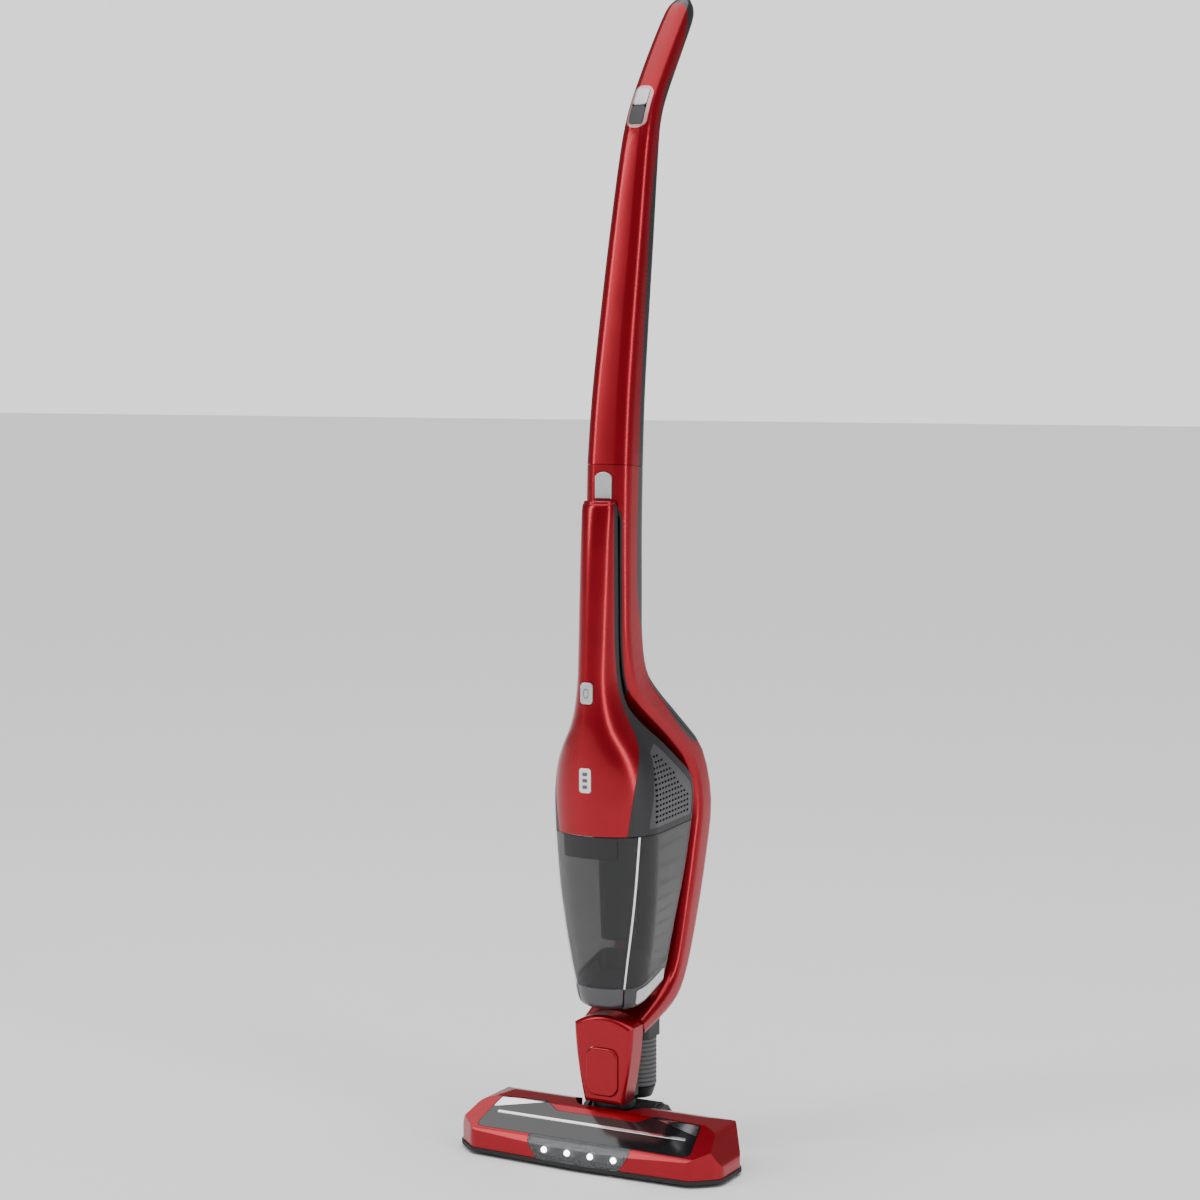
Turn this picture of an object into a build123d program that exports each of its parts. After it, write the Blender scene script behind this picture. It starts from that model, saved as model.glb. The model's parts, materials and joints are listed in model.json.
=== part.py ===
from build123d import *
import os
from math import cos, radians, sin, sqrt

os.makedirs("parts", exist_ok=True)

# Millimetres. +Z is up, the front of the cleaner faces -Y and X = 0 is its plane of symmetry.
# The origin lies on the floor, under the foot of the upright body.

# ---------------------------------------------------------------- driving dimensions: floor nozzle
nozzle_width = 288.0
nozzle_front = -73.0
nozzle_rear = 19.0
nozzle_height = 51.0
shell_base = 7.0
nozzle_wall = 2.4
shell_gap = 0.4
notch_half = 42.0
notch_front = -18.0
sole_thickness = 3.0
sole_z = 2.6
glide_depth = 14.0
glide_width = 190.0

brush_radius = 9.5
bristle_radius = 14.0
brush_y = -50.0
brush_clearance = 0.8
brush_length = 216.0
brush_shaft_radius = 3.0
running_clearance = 0.05
bearing_width = 6.0
bearing_radius = 7.0

roller_radius = 6.0
roller_width = 9.0
roller_axle_radius = 1.5
wheel_radius = 15.0
wheel_width = 11.0
wheel_axle_radius = 2.5
wheel_y = 56.0

# ---------------------------------------------------------------- driving dimensions: neck
tilt_y = 36.0
tilt_z = 27.0
barrel_radius = 19.0
barrel_half = 35.0
arm_thickness = 5.0
arm_gap = 0.8
hinge_pin_radius = 4.0
swivel_y = 6.0
swivel_base_z = 45.0
swivel_ring_height = 7.0
swivel_ring_radius = 21.0
spigot_radius = 13.0
hose_y = 54.0
hose_radius = 18.0
hose_wall = 2.0
hose_bottom_z = 57.0
hose_top_z = 106.0
cuff_height = 30.0

# ---------------------------------------------------------------- driving dimensions: upright body
body_wall = 2.4
pedestal_foot_z = 54.0
handle_seam_z = 681.0
handle_length = 472.0
seam_gap = 0.5
recess_half = 17.5
recess_depth = 19.0
recess_bottom = 455.0
recess_top = 640.0
recess_corner = 12.0
fit_gap = 0.1
release_y = -17.5
release_z = 662.5
release_width = 18.0
release_height = 26.0
release_depth = 5.0
liner_wall = 1.6

# ---------------------------------------------------------------- driving dimensions: handheld unit
cup_wall = 2.2
cup_seam_z = 325.0
band_top_z = 172.0
nose_z = 150.0
handheld_top_z = 648.0
motor_radius = 24.0
motor_height = 40.0
motor_y = 44.0
fan_radius = 27.0
fan_height = 9.0
fan_shaft_radius = 2.0
cell_radius = 9.2
cell_length = 65.0
filter_radius = 21.0
trim_proud = 0.6
button_proud = 1.6
button_gap = 0.35


def station_plane(y, z, lean):
    """Section plane whose normal leans back from the vertical by lean degrees."""
    tilt = radians(lean)
    return Plane(origin=(0, y, z), x_dir=(1, 0, 0), z_dir=(0, sin(tilt), cos(tilt)))


# Each station: centre y, centre z, lean of the centre line, width, depth, corner radius, rear cover depth.
spine_stations = [
    (6.0, 128.0, 69, 66, 17, 6.0, 4.0),
    (38.0, 139.0, 68, 70, 22, 8.0, 5.0),
    (67.0, 154.0, 50, 74, 28, 9.0, 6.0),
    (83.0, 178.0, 24, 78, 30, 10.0, 7.0),
    (98.0, 230.0, 15, 84, 35, 11.0, 7.0),
    (112.5, 287.0, 12, 88, 38, 12.0, 8.0),
    (121.0, 338.0, 2, 90, 38, 12.0, 8.0),
    (110.0, 385.0, -26, 82, 37, 12.0, 9.0),
    (75.0, 418.0, -46, 71, 34, 12.0, 9.0),
    (35.0, 450.0, -44, 58, 37, 12.0, 10.0),
    (13.0, 474.0, -27, 52, 42, 12.0, 10.0),
    (5.0, 512.0, -6, 49, 43, 12.0, 10.5),
    (4.5, 560.0, 0, 48, 44, 12.0, 10.5),
    (4.5, 620.0, 2, 48, 45, 13.0, 11.0),
    (6.5, handle_seam_z - seam_gap, 5, 48, 46, 14.0, 11.0),
]


def handle_station(y, fraction, lean, width, depth, corner, cover):
    """Handle station placed by its share of the handle's length above the seam."""
    return (y, handle_seam_z + fraction * handle_length, lean, width, depth, corner, cover)


handle_stations = [
    (6.5, handle_seam_z, 5, 48, 46, 14.0, 12.0),
    handle_station(13.0, 0.136, 8, 46, 44.5, 14.0, 12.0),
    handle_station(26.0, 0.304, 10, 43, 41.5, 14.0, 11.0),
    handle_station(40.5, 0.470, 11, 39.5, 37.5, 13.0, 11.0),
    handle_station(56.0, 0.636, 14, 34.5, 33, 12.0, 10.0),
    handle_station(66.5, 0.713, 24, 32, 29, 11.5, 10.0),
    handle_station(82.0, 0.772, 34, 30.5, 27, 11.0, 9.0),
    handle_station(113.0, 0.862, 38, 30, 26.5, 11.0, 9.0),
    handle_station(141.0, 0.938, 38, 28.5, 25, 11.0, 8.0),
    handle_station(150.5, 0.963, 38, 23, 19.5, 9.0, 6.5),
    handle_station(154.5, 0.976, 38, 14, 12, 5.5, 4.0),
]


def smooth(stations, steps=3):
    """Extra stations between the given ones, on a smooth curve through them."""
    result = []
    last = len(stations) - 1
    for index in range(last):
        before = stations[max(index - 1, 0)]
        after = stations[min(index + 2, last)]
        for step in range(steps):
            t = step / steps
            blended = []
            for a, b, c, d in zip(before, stations[index], stations[index + 1], after):
                blended.append(b + (c - a) * t / 2 + (2 * a - 5 * b + 4 * c - d) * t**2 / 2
                               + (3 * b - a - 3 * c + d) * t**3 / 2)
            result.append(tuple(blended))
    result.append(stations[last])
    return result


def solid_loft(stations, inset):
    """Solid through rounded rectangles, each made smaller all round by inset."""
    with BuildPart() as body:
        for y, z, lean, width, depth, corner, cover in smooth(stations):
            with BuildSketch(station_plane(y, z, lean)):
                RectangleRounded(width - 2 * inset, depth - 2 * inset, corner - inset)
        loft(ruled=True)
    return body.part


def shell_loft(stations, outset, wall, front):
    """Wall through the stations: the part in front of the cover seam, or the cover behind it."""
    with BuildPart() as body:
        for y, z, lean, width, depth, corner, cover in smooth(stations):
            keep = depth - cover if front else cover
            side = -depth / 2 if front else depth / 2
            with BuildSketch(station_plane(y, z, lean)):
                RectangleRounded(width + 2 * outset, depth + 2 * outset, corner + outset)
                RectangleRounded(width - 2 * wall, depth - 2 * wall, corner - wall, mode=Mode.SUBTRACT)
                with Locations((0, side)):
                    Rectangle(2 * width, 2 * keep, mode=Mode.INTERSECT)
        loft(ruled=True)
    return body.part


def side_prism(points, radius, half_width):
    """Closed outline in the side view, given as (y, z) points, extruded both ways along X."""
    with BuildPart() as prism:
        with BuildSketch(Plane.YZ):
            with BuildLine():
                FilletPolyline(*points, radius=radius, close=True)
            make_face()
        extrude(amount=half_width, both=True)
    return prism.part


def save(piece, name):
    """Label a finished piece and write it to its own file."""
    piece.part.label = name
    export_step(piece.part, "parts/" + name + ".step")


def face_frame(y, z, lean):
    """Plane on the front of the body, facing forward, its own Y running up along the body."""
    tilt = radians(lean)
    return Plane(origin=(0, y, z), x_dir=(1, 0, 0), z_dir=(0, -cos(tilt), sin(tilt)))


# ================================================================ upright body
body_span = 60.0
pedestal_front = -20.0
pedestal_back = 5.0
pedestal_foot_width = 42.0
pedestal_top_width = 65.0
pedestal_top_z = 142.0


def pedestal_outline():
    """Keystone seen from the front: narrow foot, full width above, domed top."""
    foot = pedestal_foot_width / 2
    head = pedestal_top_width / 2
    waist_z = pedestal_top_z - 44.0
    head_z = pedestal_top_z - 10.0
    ThreePointArc((foot, pedestal_foot_z), (head - 3.0, waist_z), (head, head_z))
    ThreePointArc((head, head_z), (0, pedestal_top_z), (-head, head_z))
    ThreePointArc((-head, head_z), (3.0 - head, waist_z), (-foot, pedestal_foot_z))
    Line((-foot, pedestal_foot_z), (foot, pedestal_foot_z))


pedestal_button_z = 86.0
pedestal_button_width = 35.0
pedestal_button_height = 48.0
pedestal_button_corner = 10.0
pedestal_button_proud = 2.6
pedestal_button_depth = 6.0
pedestal_edge = 5.0

with BuildPart() as pedestal_shell:
    with BuildSketch(Plane.XZ.offset(-pedestal_back)):
        with BuildLine():
            pedestal_outline()
        make_face()
    extrude(amount=pedestal_back - pedestal_front)
    fillet(pedestal_shell.faces().sort_by(Axis.Y)[0].edges(), pedestal_edge)
    with BuildSketch(Plane.XZ.offset(-pedestal_back)):
        with BuildLine():
            pedestal_outline()
        make_face()
        offset(amount=-body_wall - 1.0)
    extrude(amount=pedestal_back - pedestal_front - body_wall, mode=Mode.SUBTRACT)
    with BuildSketch(Plane.XZ.offset(-pedestal_front - 2 * body_wall)):
        with Locations((0, pedestal_button_z)):
            RectangleRounded(pedestal_button_width + 2 * button_gap, pedestal_button_height + 2 * button_gap,
                             pedestal_button_corner + button_gap)
    extrude(amount=4 * body_wall, mode=Mode.SUBTRACT)

with BuildPart() as pedestal_button:
    with BuildSketch(Plane.XZ.offset(-pedestal_front - pedestal_button_depth)):
        with Locations((0, pedestal_button_z)):
            RectangleRounded(pedestal_button_width, pedestal_button_height, pedestal_button_corner)
    extrude(amount=pedestal_button_depth + pedestal_button_proud)
    fillet(pedestal_button.faces().sort_by(Axis.Y)[0].edges(), 2.0)

pedestal_core_half = 15.0
pedestal_core_front = -4.0
pedestal_core_back = 30.0
pedestal_core_top = 120.0
with BuildPart() as pedestal_core:
    with BuildSketch(Plane.YZ):
        with BuildLine():
            FilletPolyline((pedestal_core_front, pedestal_foot_z), (pedestal_core_front, pedestal_core_top),
                           (pedestal_back - 0.1, pedestal_core_top), (pedestal_back + 6, pedestal_core_top - 4),
                           (pedestal_core_back, pedestal_core_top + 3), (pedestal_core_back, pedestal_foot_z),
                           radius=[0, 0, 0, 0, 0, 0], close=True)
        make_face()
    extrude(amount=pedestal_core_half, both=True)
    fillet(pedestal_core.edges().filter_by(Axis.Z), 3.0)
    add(pedestal_shell, mode=Mode.SUBTRACT)

swivel_gap = 0.6

with BuildPart() as swivel_collar:
    with BuildSketch(Plane.XY.offset(swivel_base_z + swivel_gap)):
        with Locations((0, swivel_y)):
            Circle(swivel_ring_radius)
    extrude(amount=pedestal_foot_z - swivel_base_z - swivel_gap)
    fillet(swivel_collar.edges().filter_by(GeomType.CIRCLE), 2.0)
    with BuildSketch(Plane.XY.offset(swivel_base_z + swivel_gap)):
        with Locations((0, swivel_y)):
            Circle(spigot_radius - running_clearance)
    extrude(amount=-swivel_ring_height + 1.0)


def recess_solid(grow):
    """Finger recess in the front of the spine, grown all round."""
    with BuildPart() as pocket:
        with BuildSketch(Plane.XZ.offset(-release_y - recess_depth - grow)):
            with Locations((0, (recess_bottom + recess_top) / 2)):
                RectangleRounded(2 * (recess_half + grow), recess_top - recess_bottom + 2 * grow, recess_corner)
        extrude(amount=recess_depth + body_span)
    return pocket.part


def release_tablet(grow):
    """Release button: flat foot, round top, in the front view."""
    half = release_width / 2 + grow
    foot = release_z - release_height / 2 - grow
    crown = release_z + release_height / 2 + grow
    shoulder = crown - release_width / 4
    with BuildPart() as tablet:
        with BuildSketch(Plane.XZ.offset(-release_y - release_depth - 4 * grow)):
            with BuildLine():
                Polyline((-half, shoulder), (-half, foot), (half, foot), (half, shoulder))
                ThreePointArc((half, shoulder), (0, crown), (-half, shoulder))
            make_face()
        extrude(amount=release_depth + button_proud + 20 * grow)
    return tablet.part


with BuildPart() as behind_pedestal:
    with BuildSketch():
        with Locations((0, pedestal_back + 0.05 - pedestal_top_z / 2)):
            Rectangle(pedestal_top_z, pedestal_top_z)
    extrude(amount=pedestal_top_z + 0.1)

with BuildPart() as body_front_shell:
    add(shell_loft(spine_stations, 0.0, body_wall, True))
    add(behind_pedestal, mode=Mode.SUBTRACT)
    add(recess_solid(liner_wall + fit_gap), mode=Mode.SUBTRACT)
    add(release_tablet(button_gap), mode=Mode.SUBTRACT)

with BuildPart() as body_rear_cover:
    add(shell_loft(spine_stations, 0.0, body_wall, False))
    add(behind_pedestal, mode=Mode.SUBTRACT)

with BuildPart() as docking_liner:
    add(recess_solid(liner_wall))
    add(recess_solid(0.0), mode=Mode.SUBTRACT)
    add(solid_loft(spine_stations, 0.0), mode=Mode.INTERSECT)

with BuildPart() as release_button:
    add(release_tablet(0.0))
    fillet(release_button.faces().sort_by(Axis.Y)[0].edges(), 1.0)


# ---------------------------------------------------------------- handle
def switch_prism(width, height, centre, corner):
    """Rounded prism through the front of the grip."""
    with BuildPart() as prism:
        with BuildSketch(switch_frame.offset(-12)):
            with Locations((0, centre)):
                RectangleRounded(width, height, corner)
        extrude(amount=24)
    return prism.part


switch_frame = face_frame(59.0, 1029.0, 25)
bezel_width = 22.0
bezel_height = 48.0
bezel_corner = 9.0
switch_width = 15.0
switch_corner = 4.0
upper_switch_height = 19.0
lower_switch_height = 20.0
switch_gap = 1.0
switch_step = (upper_switch_height + lower_switch_height) / 4 + switch_gap / 2
switch_pair_height = upper_switch_height + lower_switch_height + switch_gap + 2 * button_gap

tip_cap_depth = 2.0
with BuildPart() as tip_cap:
    tip = handle_stations[-1]
    with BuildSketch(station_plane(tip[0], tip[1], tip[2])):
        RectangleRounded(tip[3] - 0.4, tip[4] - 0.4, tip[5] - 0.3)
    extrude(amount=tip_cap_depth)
    tip_axis = Axis((0, 0, 0), (0, sin(radians(tip[2])), cos(radians(tip[2]))))
    fillet(tip_cap.faces().sort_by(tip_axis)[-1].edges(), 1.4)
    with BuildSketch(station_plane(tip[0], tip[1], tip[2])):
        RectangleRounded(tip[3] - 2 * body_wall - 0.2, tip[4] - 2 * body_wall - 0.2, tip[5] - body_wall)
    extrude(amount=-6.0)

with BuildPart() as handle_front_shell:
    add(tip_cap)
    add(shell_loft(handle_stations, 0.0, body_wall, True))
    add(switch_prism(bezel_width, bezel_height, 0, bezel_corner), mode=Mode.SUBTRACT)

with BuildPart() as handle_rear_cover:
    add(shell_loft(handle_stations, 0.0, body_wall, False))

with BuildPart() as switch_bezel:
    add(shell_loft(handle_stations, trim_proud, body_wall, True))
    add(switch_prism(bezel_width - 2 * fit_gap, bezel_height - 2 * fit_gap, 0, bezel_corner), mode=Mode.INTERSECT)
    add(switch_prism(switch_width + 2 * button_gap, switch_pair_height, 0, switch_corner), mode=Mode.SUBTRACT)

grip_skin = shell_loft(handle_stations, button_proud, body_wall, True)
with BuildPart() as speed_button:
    add(grip_skin)
    add(switch_prism(switch_width, upper_switch_height, switch_step, switch_corner - 0.5), mode=Mode.INTERSECT)
with BuildPart() as power_switch:
    add(grip_skin)
    add(switch_prism(switch_width, lower_switch_height, -switch_step, switch_corner - 0.5), mode=Mode.INTERSECT)

sleeve_length = 46.0
with BuildPart() as handle_sleeve:
    with BuildSketch(station_plane(9.0, handle_seam_z - sleeve_length / 2, 5)):
        RectangleRounded(40.0, 29.0, 8.0)
        RectangleRounded(34.0, 23.0, 5.5, mode=Mode.SUBTRACT)
    extrude(amount=sleeve_length)

body_pieces = {
    "pedestal_shell": pedestal_shell,
    "pedestal_button": pedestal_button,
    "pedestal_core": pedestal_core,
    "swivel_collar": swivel_collar,
    "body_front_shell": body_front_shell,
    "body_rear_cover": body_rear_cover,
    "docking_liner": docking_liner,
    "release_button": release_button,
    "handle_front_shell": handle_front_shell,
    "handle_rear_cover": handle_rear_cover,
    "handle_sleeve": handle_sleeve,
    "switch_bezel": switch_bezel,
    "speed_button": speed_button,
    "power_switch": power_switch,
}
for piece_name, piece in body_pieces.items():
    save(piece, piece_name)


# ================================================================ handheld unit
# Each station: height, half width at the waist, front, waist y, rear half width, rear, rear corner,
# angle of the front shell's edge, measured on the front ellipse from the waist.
handheld_stations = [
    (cup_seam_z + seam_gap, 54.0, -51.5, -5.0, 46.0, 91.0, 9.0, 46.0),
    (352.0, 54.5, -54.0, -5.0, 46.0, 94.0, 9.0, 41.0),
    (372.0, 53.5, -55.0, -5.0, 45.0, 88.0, 9.0, 36.0),
    (392.0, 50.0, -55.5, -6.0, 43.0, 61.0, 9.0, 28.0),
    (410.0, 42.5, -55.5, -9.0, 39.0, 36.0, 8.0, 16.0),
    (428.0, 32.0, -55.0, -14.0, 31.0, 12.0, 6.0, 4.0),
    (448.0, 24.5, -53.5, -20.0, 24.0, -9.0, 4.0, 3.0),
    (474.0, 20.0, -52.0, -25.0, 20.0, -17.0, 3.0, 3.0),
    (510.0, 18.5, -49.5, -28.0, 18.5, -18.5, 3.0, 3.0),
    (560.0, 18.0, -46.5, -28.5, 18.0, -18.5, 3.0, 3.0),
    (610.0, 17.5, -43.0, -28.0, 17.5, -18.5, 3.0, 3.0),
    (handheld_top_z - 8.0, 17.0, -39.5, -27.5, 17.0, -18.5, 3.0, 3.0),
    (handheld_top_z - 2.5, 15.5, -37.0, -27.5, 15.5, -19.5, 3.0, 3.0),
]
cup_stations = [
    (nose_z, 29.5, -23.5, 4.0, 30.5, 46.0, 7.0, 47.0),
    (nose_z + 3.0, 33.0, -28.0, 4.0, 32.5, 46.0, 7.0, 47.0),
    (nose_z + 9.0, 35.5, -30.5, 4.0, 34.5, 46.0, 7.0, 47.0),
    (band_top_z, 38.0, -33.0, 4.0, 36.5, 47.0, 8.0, 47.0),
    (193.0, 42.0, -37.0, 2.0, 38.5, 54.0, 9.0, 45.0),
    (233.0, 48.0, -42.5, 0.0, 41.5, 65.0, 9.0, 41.0),
    (273.0, 52.0, -47.0, -3.0, 44.5, 76.5, 9.0, 37.0),
    (cup_seam_z - seam_gap, 54.0, -51.4, -5.0, 46.0, 90.8, 9.0, 32.0),
]


def front_loft(stations, start, outset, wall, edge_angle=None, lap=0.0):
    """Curved front wall between the two side edges, from station number start up."""
    with BuildPart() as body:
        for z, half, front, waist, rear_half, rear, corner, seam in smooth(stations[start:]):
            edge = (edge_angle if edge_angle else seam) + lap
            depth = waist - front
            with BuildSketch(Plane.XY.offset(z)):
                with BuildLine():
                    outer = EllipticalCenterArc((0, waist), half + outset, depth + outset,
                                                start_angle=180 + edge, arc_size=180 - 2 * edge)
                    inner = EllipticalCenterArc((0, waist), half - wall, depth - wall,
                                                start_angle=180 + edge, arc_size=180 - 2 * edge)
                    Line(outer @ 0, inner @ 0)
                    Line(outer @ 1, inner @ 1)
                make_face()
        loft(ruled=True)
    return body.part


def rear_outline(half, depth, waist, rear_half, rear, corner, edge):
    """Open outline from the right edge of the front shell round the back to the left edge."""
    soft = corner * (1 - sqrt(0.5))
    Line((half, waist), (rear_half, rear - corner))
    ThreePointArc((rear_half, rear - corner), (rear_half - soft, rear - soft), (rear_half - corner, rear))
    Line((rear_half - corner, rear), (corner - rear_half, rear))
    ThreePointArc((corner - rear_half, rear), (soft - rear_half, rear - soft), (-rear_half, rear - corner))
    Line((-rear_half, rear - corner), (-half, waist))
    if edge == 0:
        return (half, waist), (-half, waist)
    right = EllipticalCenterArc((0, waist), half, depth, start_angle=-edge, arc_size=edge)
    left = EllipticalCenterArc((0, waist), half, depth, start_angle=180, arc_size=edge)
    return right @ 0, left @ 1


def rear_loft(stations, start, outset, wall, lap=0.0):
    """Side and rear walls behind the front shell."""
    with BuildPart() as body:
        for z, half, front, waist, rear_half, rear, corner, seam in smooth(stations[start:]):
            edge = seam - lap
            depth = waist - front
            with BuildSketch(Plane.XY.offset(z)):
                with BuildLine():
                    outer = rear_outline(half + outset, depth + outset, waist, rear_half + outset, rear + outset,
                                         corner + outset, edge)
                    inner = rear_outline(half - wall, depth - wall, waist, rear_half - wall, rear - wall,
                                         max(corner - wall, 0.5), edge)
                    Line(outer[0], inner[0])
                    Line(outer[1], inner[1])
                make_face()
        loft(ruled=True)
    return body.part


def full_loft(stations, start, inset):
    """Solid through the whole sections, each made smaller all round by inset."""
    with BuildPart() as body:
        for z, half, front, waist, rear_half, rear, corner, seam in smooth(stations[start:]):
            with BuildSketch(Plane.XY.offset(z)):
                with BuildLine():
                    EllipticalCenterArc((0, waist), half - inset, waist - front - inset, start_angle=180,
                                        arc_size=180)
                    rear_outline(half - inset, waist - front - inset, waist, rear_half - inset, rear - inset,
                                 max(corner - inset, 0.5), 0)
                make_face()
        loft(ruled=True)
    return body.part


# ---------------------------------------------------------------- side grilles
grille_outline = [(-20.0, 331.0), (83.0, 331.0), (86.0, 350.0), (82.0, 364.0), (12.0, 411.0), (-6.0, 404.0)]
grille_radii = [3.0, 3.0, 6.0, 8.0, 5.0, 5.0]
slot_length = 5.4
slot_height = 2.4
slot_pitch_y = 8.0
slot_pitch_z = 5.2
grille_columns = 13
grille_rows = 15
grille_centre_y = 32.0
grille_centre_z = 368.0
grille_space = side_prism(grille_outline, grille_radii, body_span)

with BuildPart() as handheld_rear_shell:
    add(rear_loft(handheld_stations, 0, 0.0, cup_wall, 0.25))
    add(grille_space, mode=Mode.SUBTRACT)


def grille_holes():
    """Places of the vent slots that lie well inside the grille's outline."""
    places = []
    for column in range(grille_columns):
        for row in range(grille_rows):
            y = grille_centre_y + (column - (grille_columns - 1) / 2) * slot_pitch_y
            z = grille_centre_z + (row - (grille_rows - 1) / 2) * slot_pitch_z
            in_front = y > -14.0 + 0.1 * (z - 331.0) and z > 334.0
            slope = 408.0 - 0.67 * (y - 8.0)
            if in_front and y < 80.0 and z < slope - 8.0 and z < 401.0:
                places.append((y, z))
    return places


with BuildPart() as side_grilles:
    add(rear_loft(handheld_stations, 0, -0.3, 1.6, 0.25))
    add(side_prism(grille_outline, grille_radii, body_span), mode=Mode.INTERSECT)
    with BuildSketch(Plane.YZ.offset(-body_span)):
        with Locations(*grille_holes()):
            SlotOverall(slot_length, slot_height)
    extrude(amount=2 * body_span, mode=Mode.SUBTRACT)

# ---------------------------------------------------------------- handheld top cap and bulkhead
handle_top = handheld_stations[-1]
with BuildPart() as handheld_top_cap:
    with BuildSketch(Plane.XY.offset(handle_top[0])):
        with BuildLine():
            EllipticalCenterArc((0, handle_top[3]), handle_top[1], handle_top[3] - handle_top[2], start_angle=180,
                                arc_size=180)
            rear_outline(handle_top[1], handle_top[3] - handle_top[2], handle_top[3], handle_top[4], handle_top[5],
                         handle_top[6], 0)
        make_face()
    extrude(amount=2.4)
    fillet(handheld_top_cap.faces().sort_by(Axis.Z)[-1].edges(), 1.6)

bulkhead_thickness = 3.0
intake_radius = 17.0
frame_inset = cup_wall + 0.15
seat_z, seat_half, seat_front, seat_waist, seat_rear_half, seat_rear, seat_corner, seat_seam = handheld_stations[0]
with BuildPart() as handheld_bulkhead:
    with BuildSketch(Plane.XY.offset(seat_z)):
        with BuildLine():
            EllipticalCenterArc((0, seat_waist), seat_half - frame_inset, seat_waist - seat_front - frame_inset,
                                start_angle=180, arc_size=180)
            rear_outline(seat_half - frame_inset, 0, seat_waist, seat_rear_half - frame_inset,
                         seat_rear - frame_inset, seat_corner - frame_inset, 0)
        make_face()
    extrude(amount=cup_seam_z + bulkhead_thickness - seat_z)
    with BuildSketch(Plane.XY.offset(cup_seam_z)):
        with Locations((0, motor_y)):
            Circle(intake_radius)
    extrude(amount=2 * bulkhead_thickness, mode=Mode.SUBTRACT)

# ---------------------------------------------------------------- motor, fan, battery, board
fan_z = cup_seam_z + bulkhead_thickness + 3.0
motor_z = fan_z + fan_height + 3.0
blade_count = 9
blade_thickness = 1.4
with BuildPart() as suction_motor:
    with BuildSketch(Plane.XY.offset(motor_z)):
        with Locations((0, motor_y)):
            Circle(motor_radius)
    extrude(amount=motor_height * 0.62)
    fillet(suction_motor.faces().sort_by(Axis.Z)[-1].edges(), 4.0)
    with BuildSketch(Plane.XY.offset(motor_z)):
        with Locations((0, motor_y)):
            Circle(fan_shaft_radius + running_clearance)
    extrude(amount=motor_height * 0.3, mode=Mode.SUBTRACT)

with BuildPart() as suction_fan:
    with BuildSketch(Plane.XY.offset(fan_z)):
        with Locations((0, motor_y)):
            Circle(fan_radius - 4.0)
    extrude(amount=1.6)
    with BuildSketch(Plane.XY.offset(fan_z)):
        with Locations((0, motor_y)):
            Circle(6.0)
    extrude(amount=fan_height)
    with BuildSketch(Plane.XY.offset(fan_z + 1.0)):
        with Locations((0, motor_y)):
            with PolarLocations(12.5, blade_count):
                Rectangle(18.0, blade_thickness)
    extrude(amount=fan_height - 2.0)
    with BuildSketch(Plane.XY.offset(fan_z + 1.0)):
        with Locations((0, motor_y)):
            Circle(fan_shaft_radius)
    extrude(amount=motor_z - fan_z + motor_height * 0.25)

cell_y = -24.0
cell_pitch = 19.6
cell_z = cup_seam_z + 8.0
with BuildPart() as battery_cells:
    with BuildSketch(Plane.XY.offset(cell_z)):
        with Locations((0, cell_y)):
            with GridLocations(cell_pitch, 1, 3, 1):
                Circle(cell_radius)
    extrude(amount=cell_length)
    fillet(battery_cells.edges().filter_by(GeomType.CIRCLE), 1.0)

with BuildPart() as battery_holder:
    with BuildSketch(Plane.XY.offset(cup_seam_z + bulkhead_thickness)):
        with Locations((0, cell_y + 1.0)):
            RectangleRounded(64.0, 24.0, 6.0)
    extrude(amount=14.0)
    with BuildSketch(Plane.XY.offset(cell_z)):
        with Locations((0, cell_y)):
            with GridLocations(cell_pitch, 1, 3, 1):
                Circle(cell_radius + 0.1)
    extrude(amount=cell_length, mode=Mode.SUBTRACT)

with BuildPart() as motor_mount:
    with BuildSketch(Plane.XY.offset(motor_z)):
        with Locations((0, motor_y)):
            Circle(motor_radius + 5.0)
            Circle(motor_radius + 0.1, mode=Mode.SUBTRACT)
    extrude(amount=8.0)
    with BuildSketch(Plane.XY.offset(cup_seam_z + bulkhead_thickness)):
        with Locations((0, motor_y)):
            with PolarLocations(motor_radius + 3.0, 4, start_angle=45):
                Circle(1.6)
    extrude(amount=motor_z - cup_seam_z - bulkhead_thickness + 1.0)

with BuildPart() as inner_frame:
    add(handheld_bulkhead)
    add(motor_mount)
    add(battery_holder)

with BuildPart() as control_board:
    with BuildSketch(Plane.XY.offset(cup_seam_z + bulkhead_thickness)):
        with Locations((0, -6.0)):
            Rectangle(58.0, 1.6)
    extrude(amount=58.0)
    with BuildSketch(Plane.XZ.offset(5.2)):
        with Locations((-14, 352), (12, 366), (4, 344)):
            Rectangle(9.0, 7.0)
    extrude(amount=-3.4)

# ---------------------------------------------------------------- handheld power button and battery window
power_z = 464.0
power_width = 13.0
power_height = 21.0
power_face = -51.7
window_z = 380.0
window_width = 12.5
window_height = 24.0
window_face = -54.6


def front_tablet(z, width, height, corner, back, front):
    """Rounded tablet standing in the front shell, between two y planes."""
    with BuildPart() as tablet:
        with BuildSketch(Plane.XZ.offset(-back)):
            with Locations((0, z)):
                RectangleRounded(width, height, corner)
        extrude(amount=back - front)
    return tablet.part


with BuildPart() as handheld_front_shell:
    add(handheld_top_cap)
    add(front_loft(handheld_stations, 0, 0.0, cup_wall))
    add(front_tablet(power_z, power_width + 2 * button_gap, power_height + 2 * button_gap, 4.0, power_face + 8.0,
                     power_face - 8.0), mode=Mode.SUBTRACT)
    add(front_tablet(window_z, window_width + 2 * fit_gap, window_height + 2 * fit_gap, 3.1, window_face + 8.0,
                     window_face - 8.0), mode=Mode.SUBTRACT)

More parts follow.
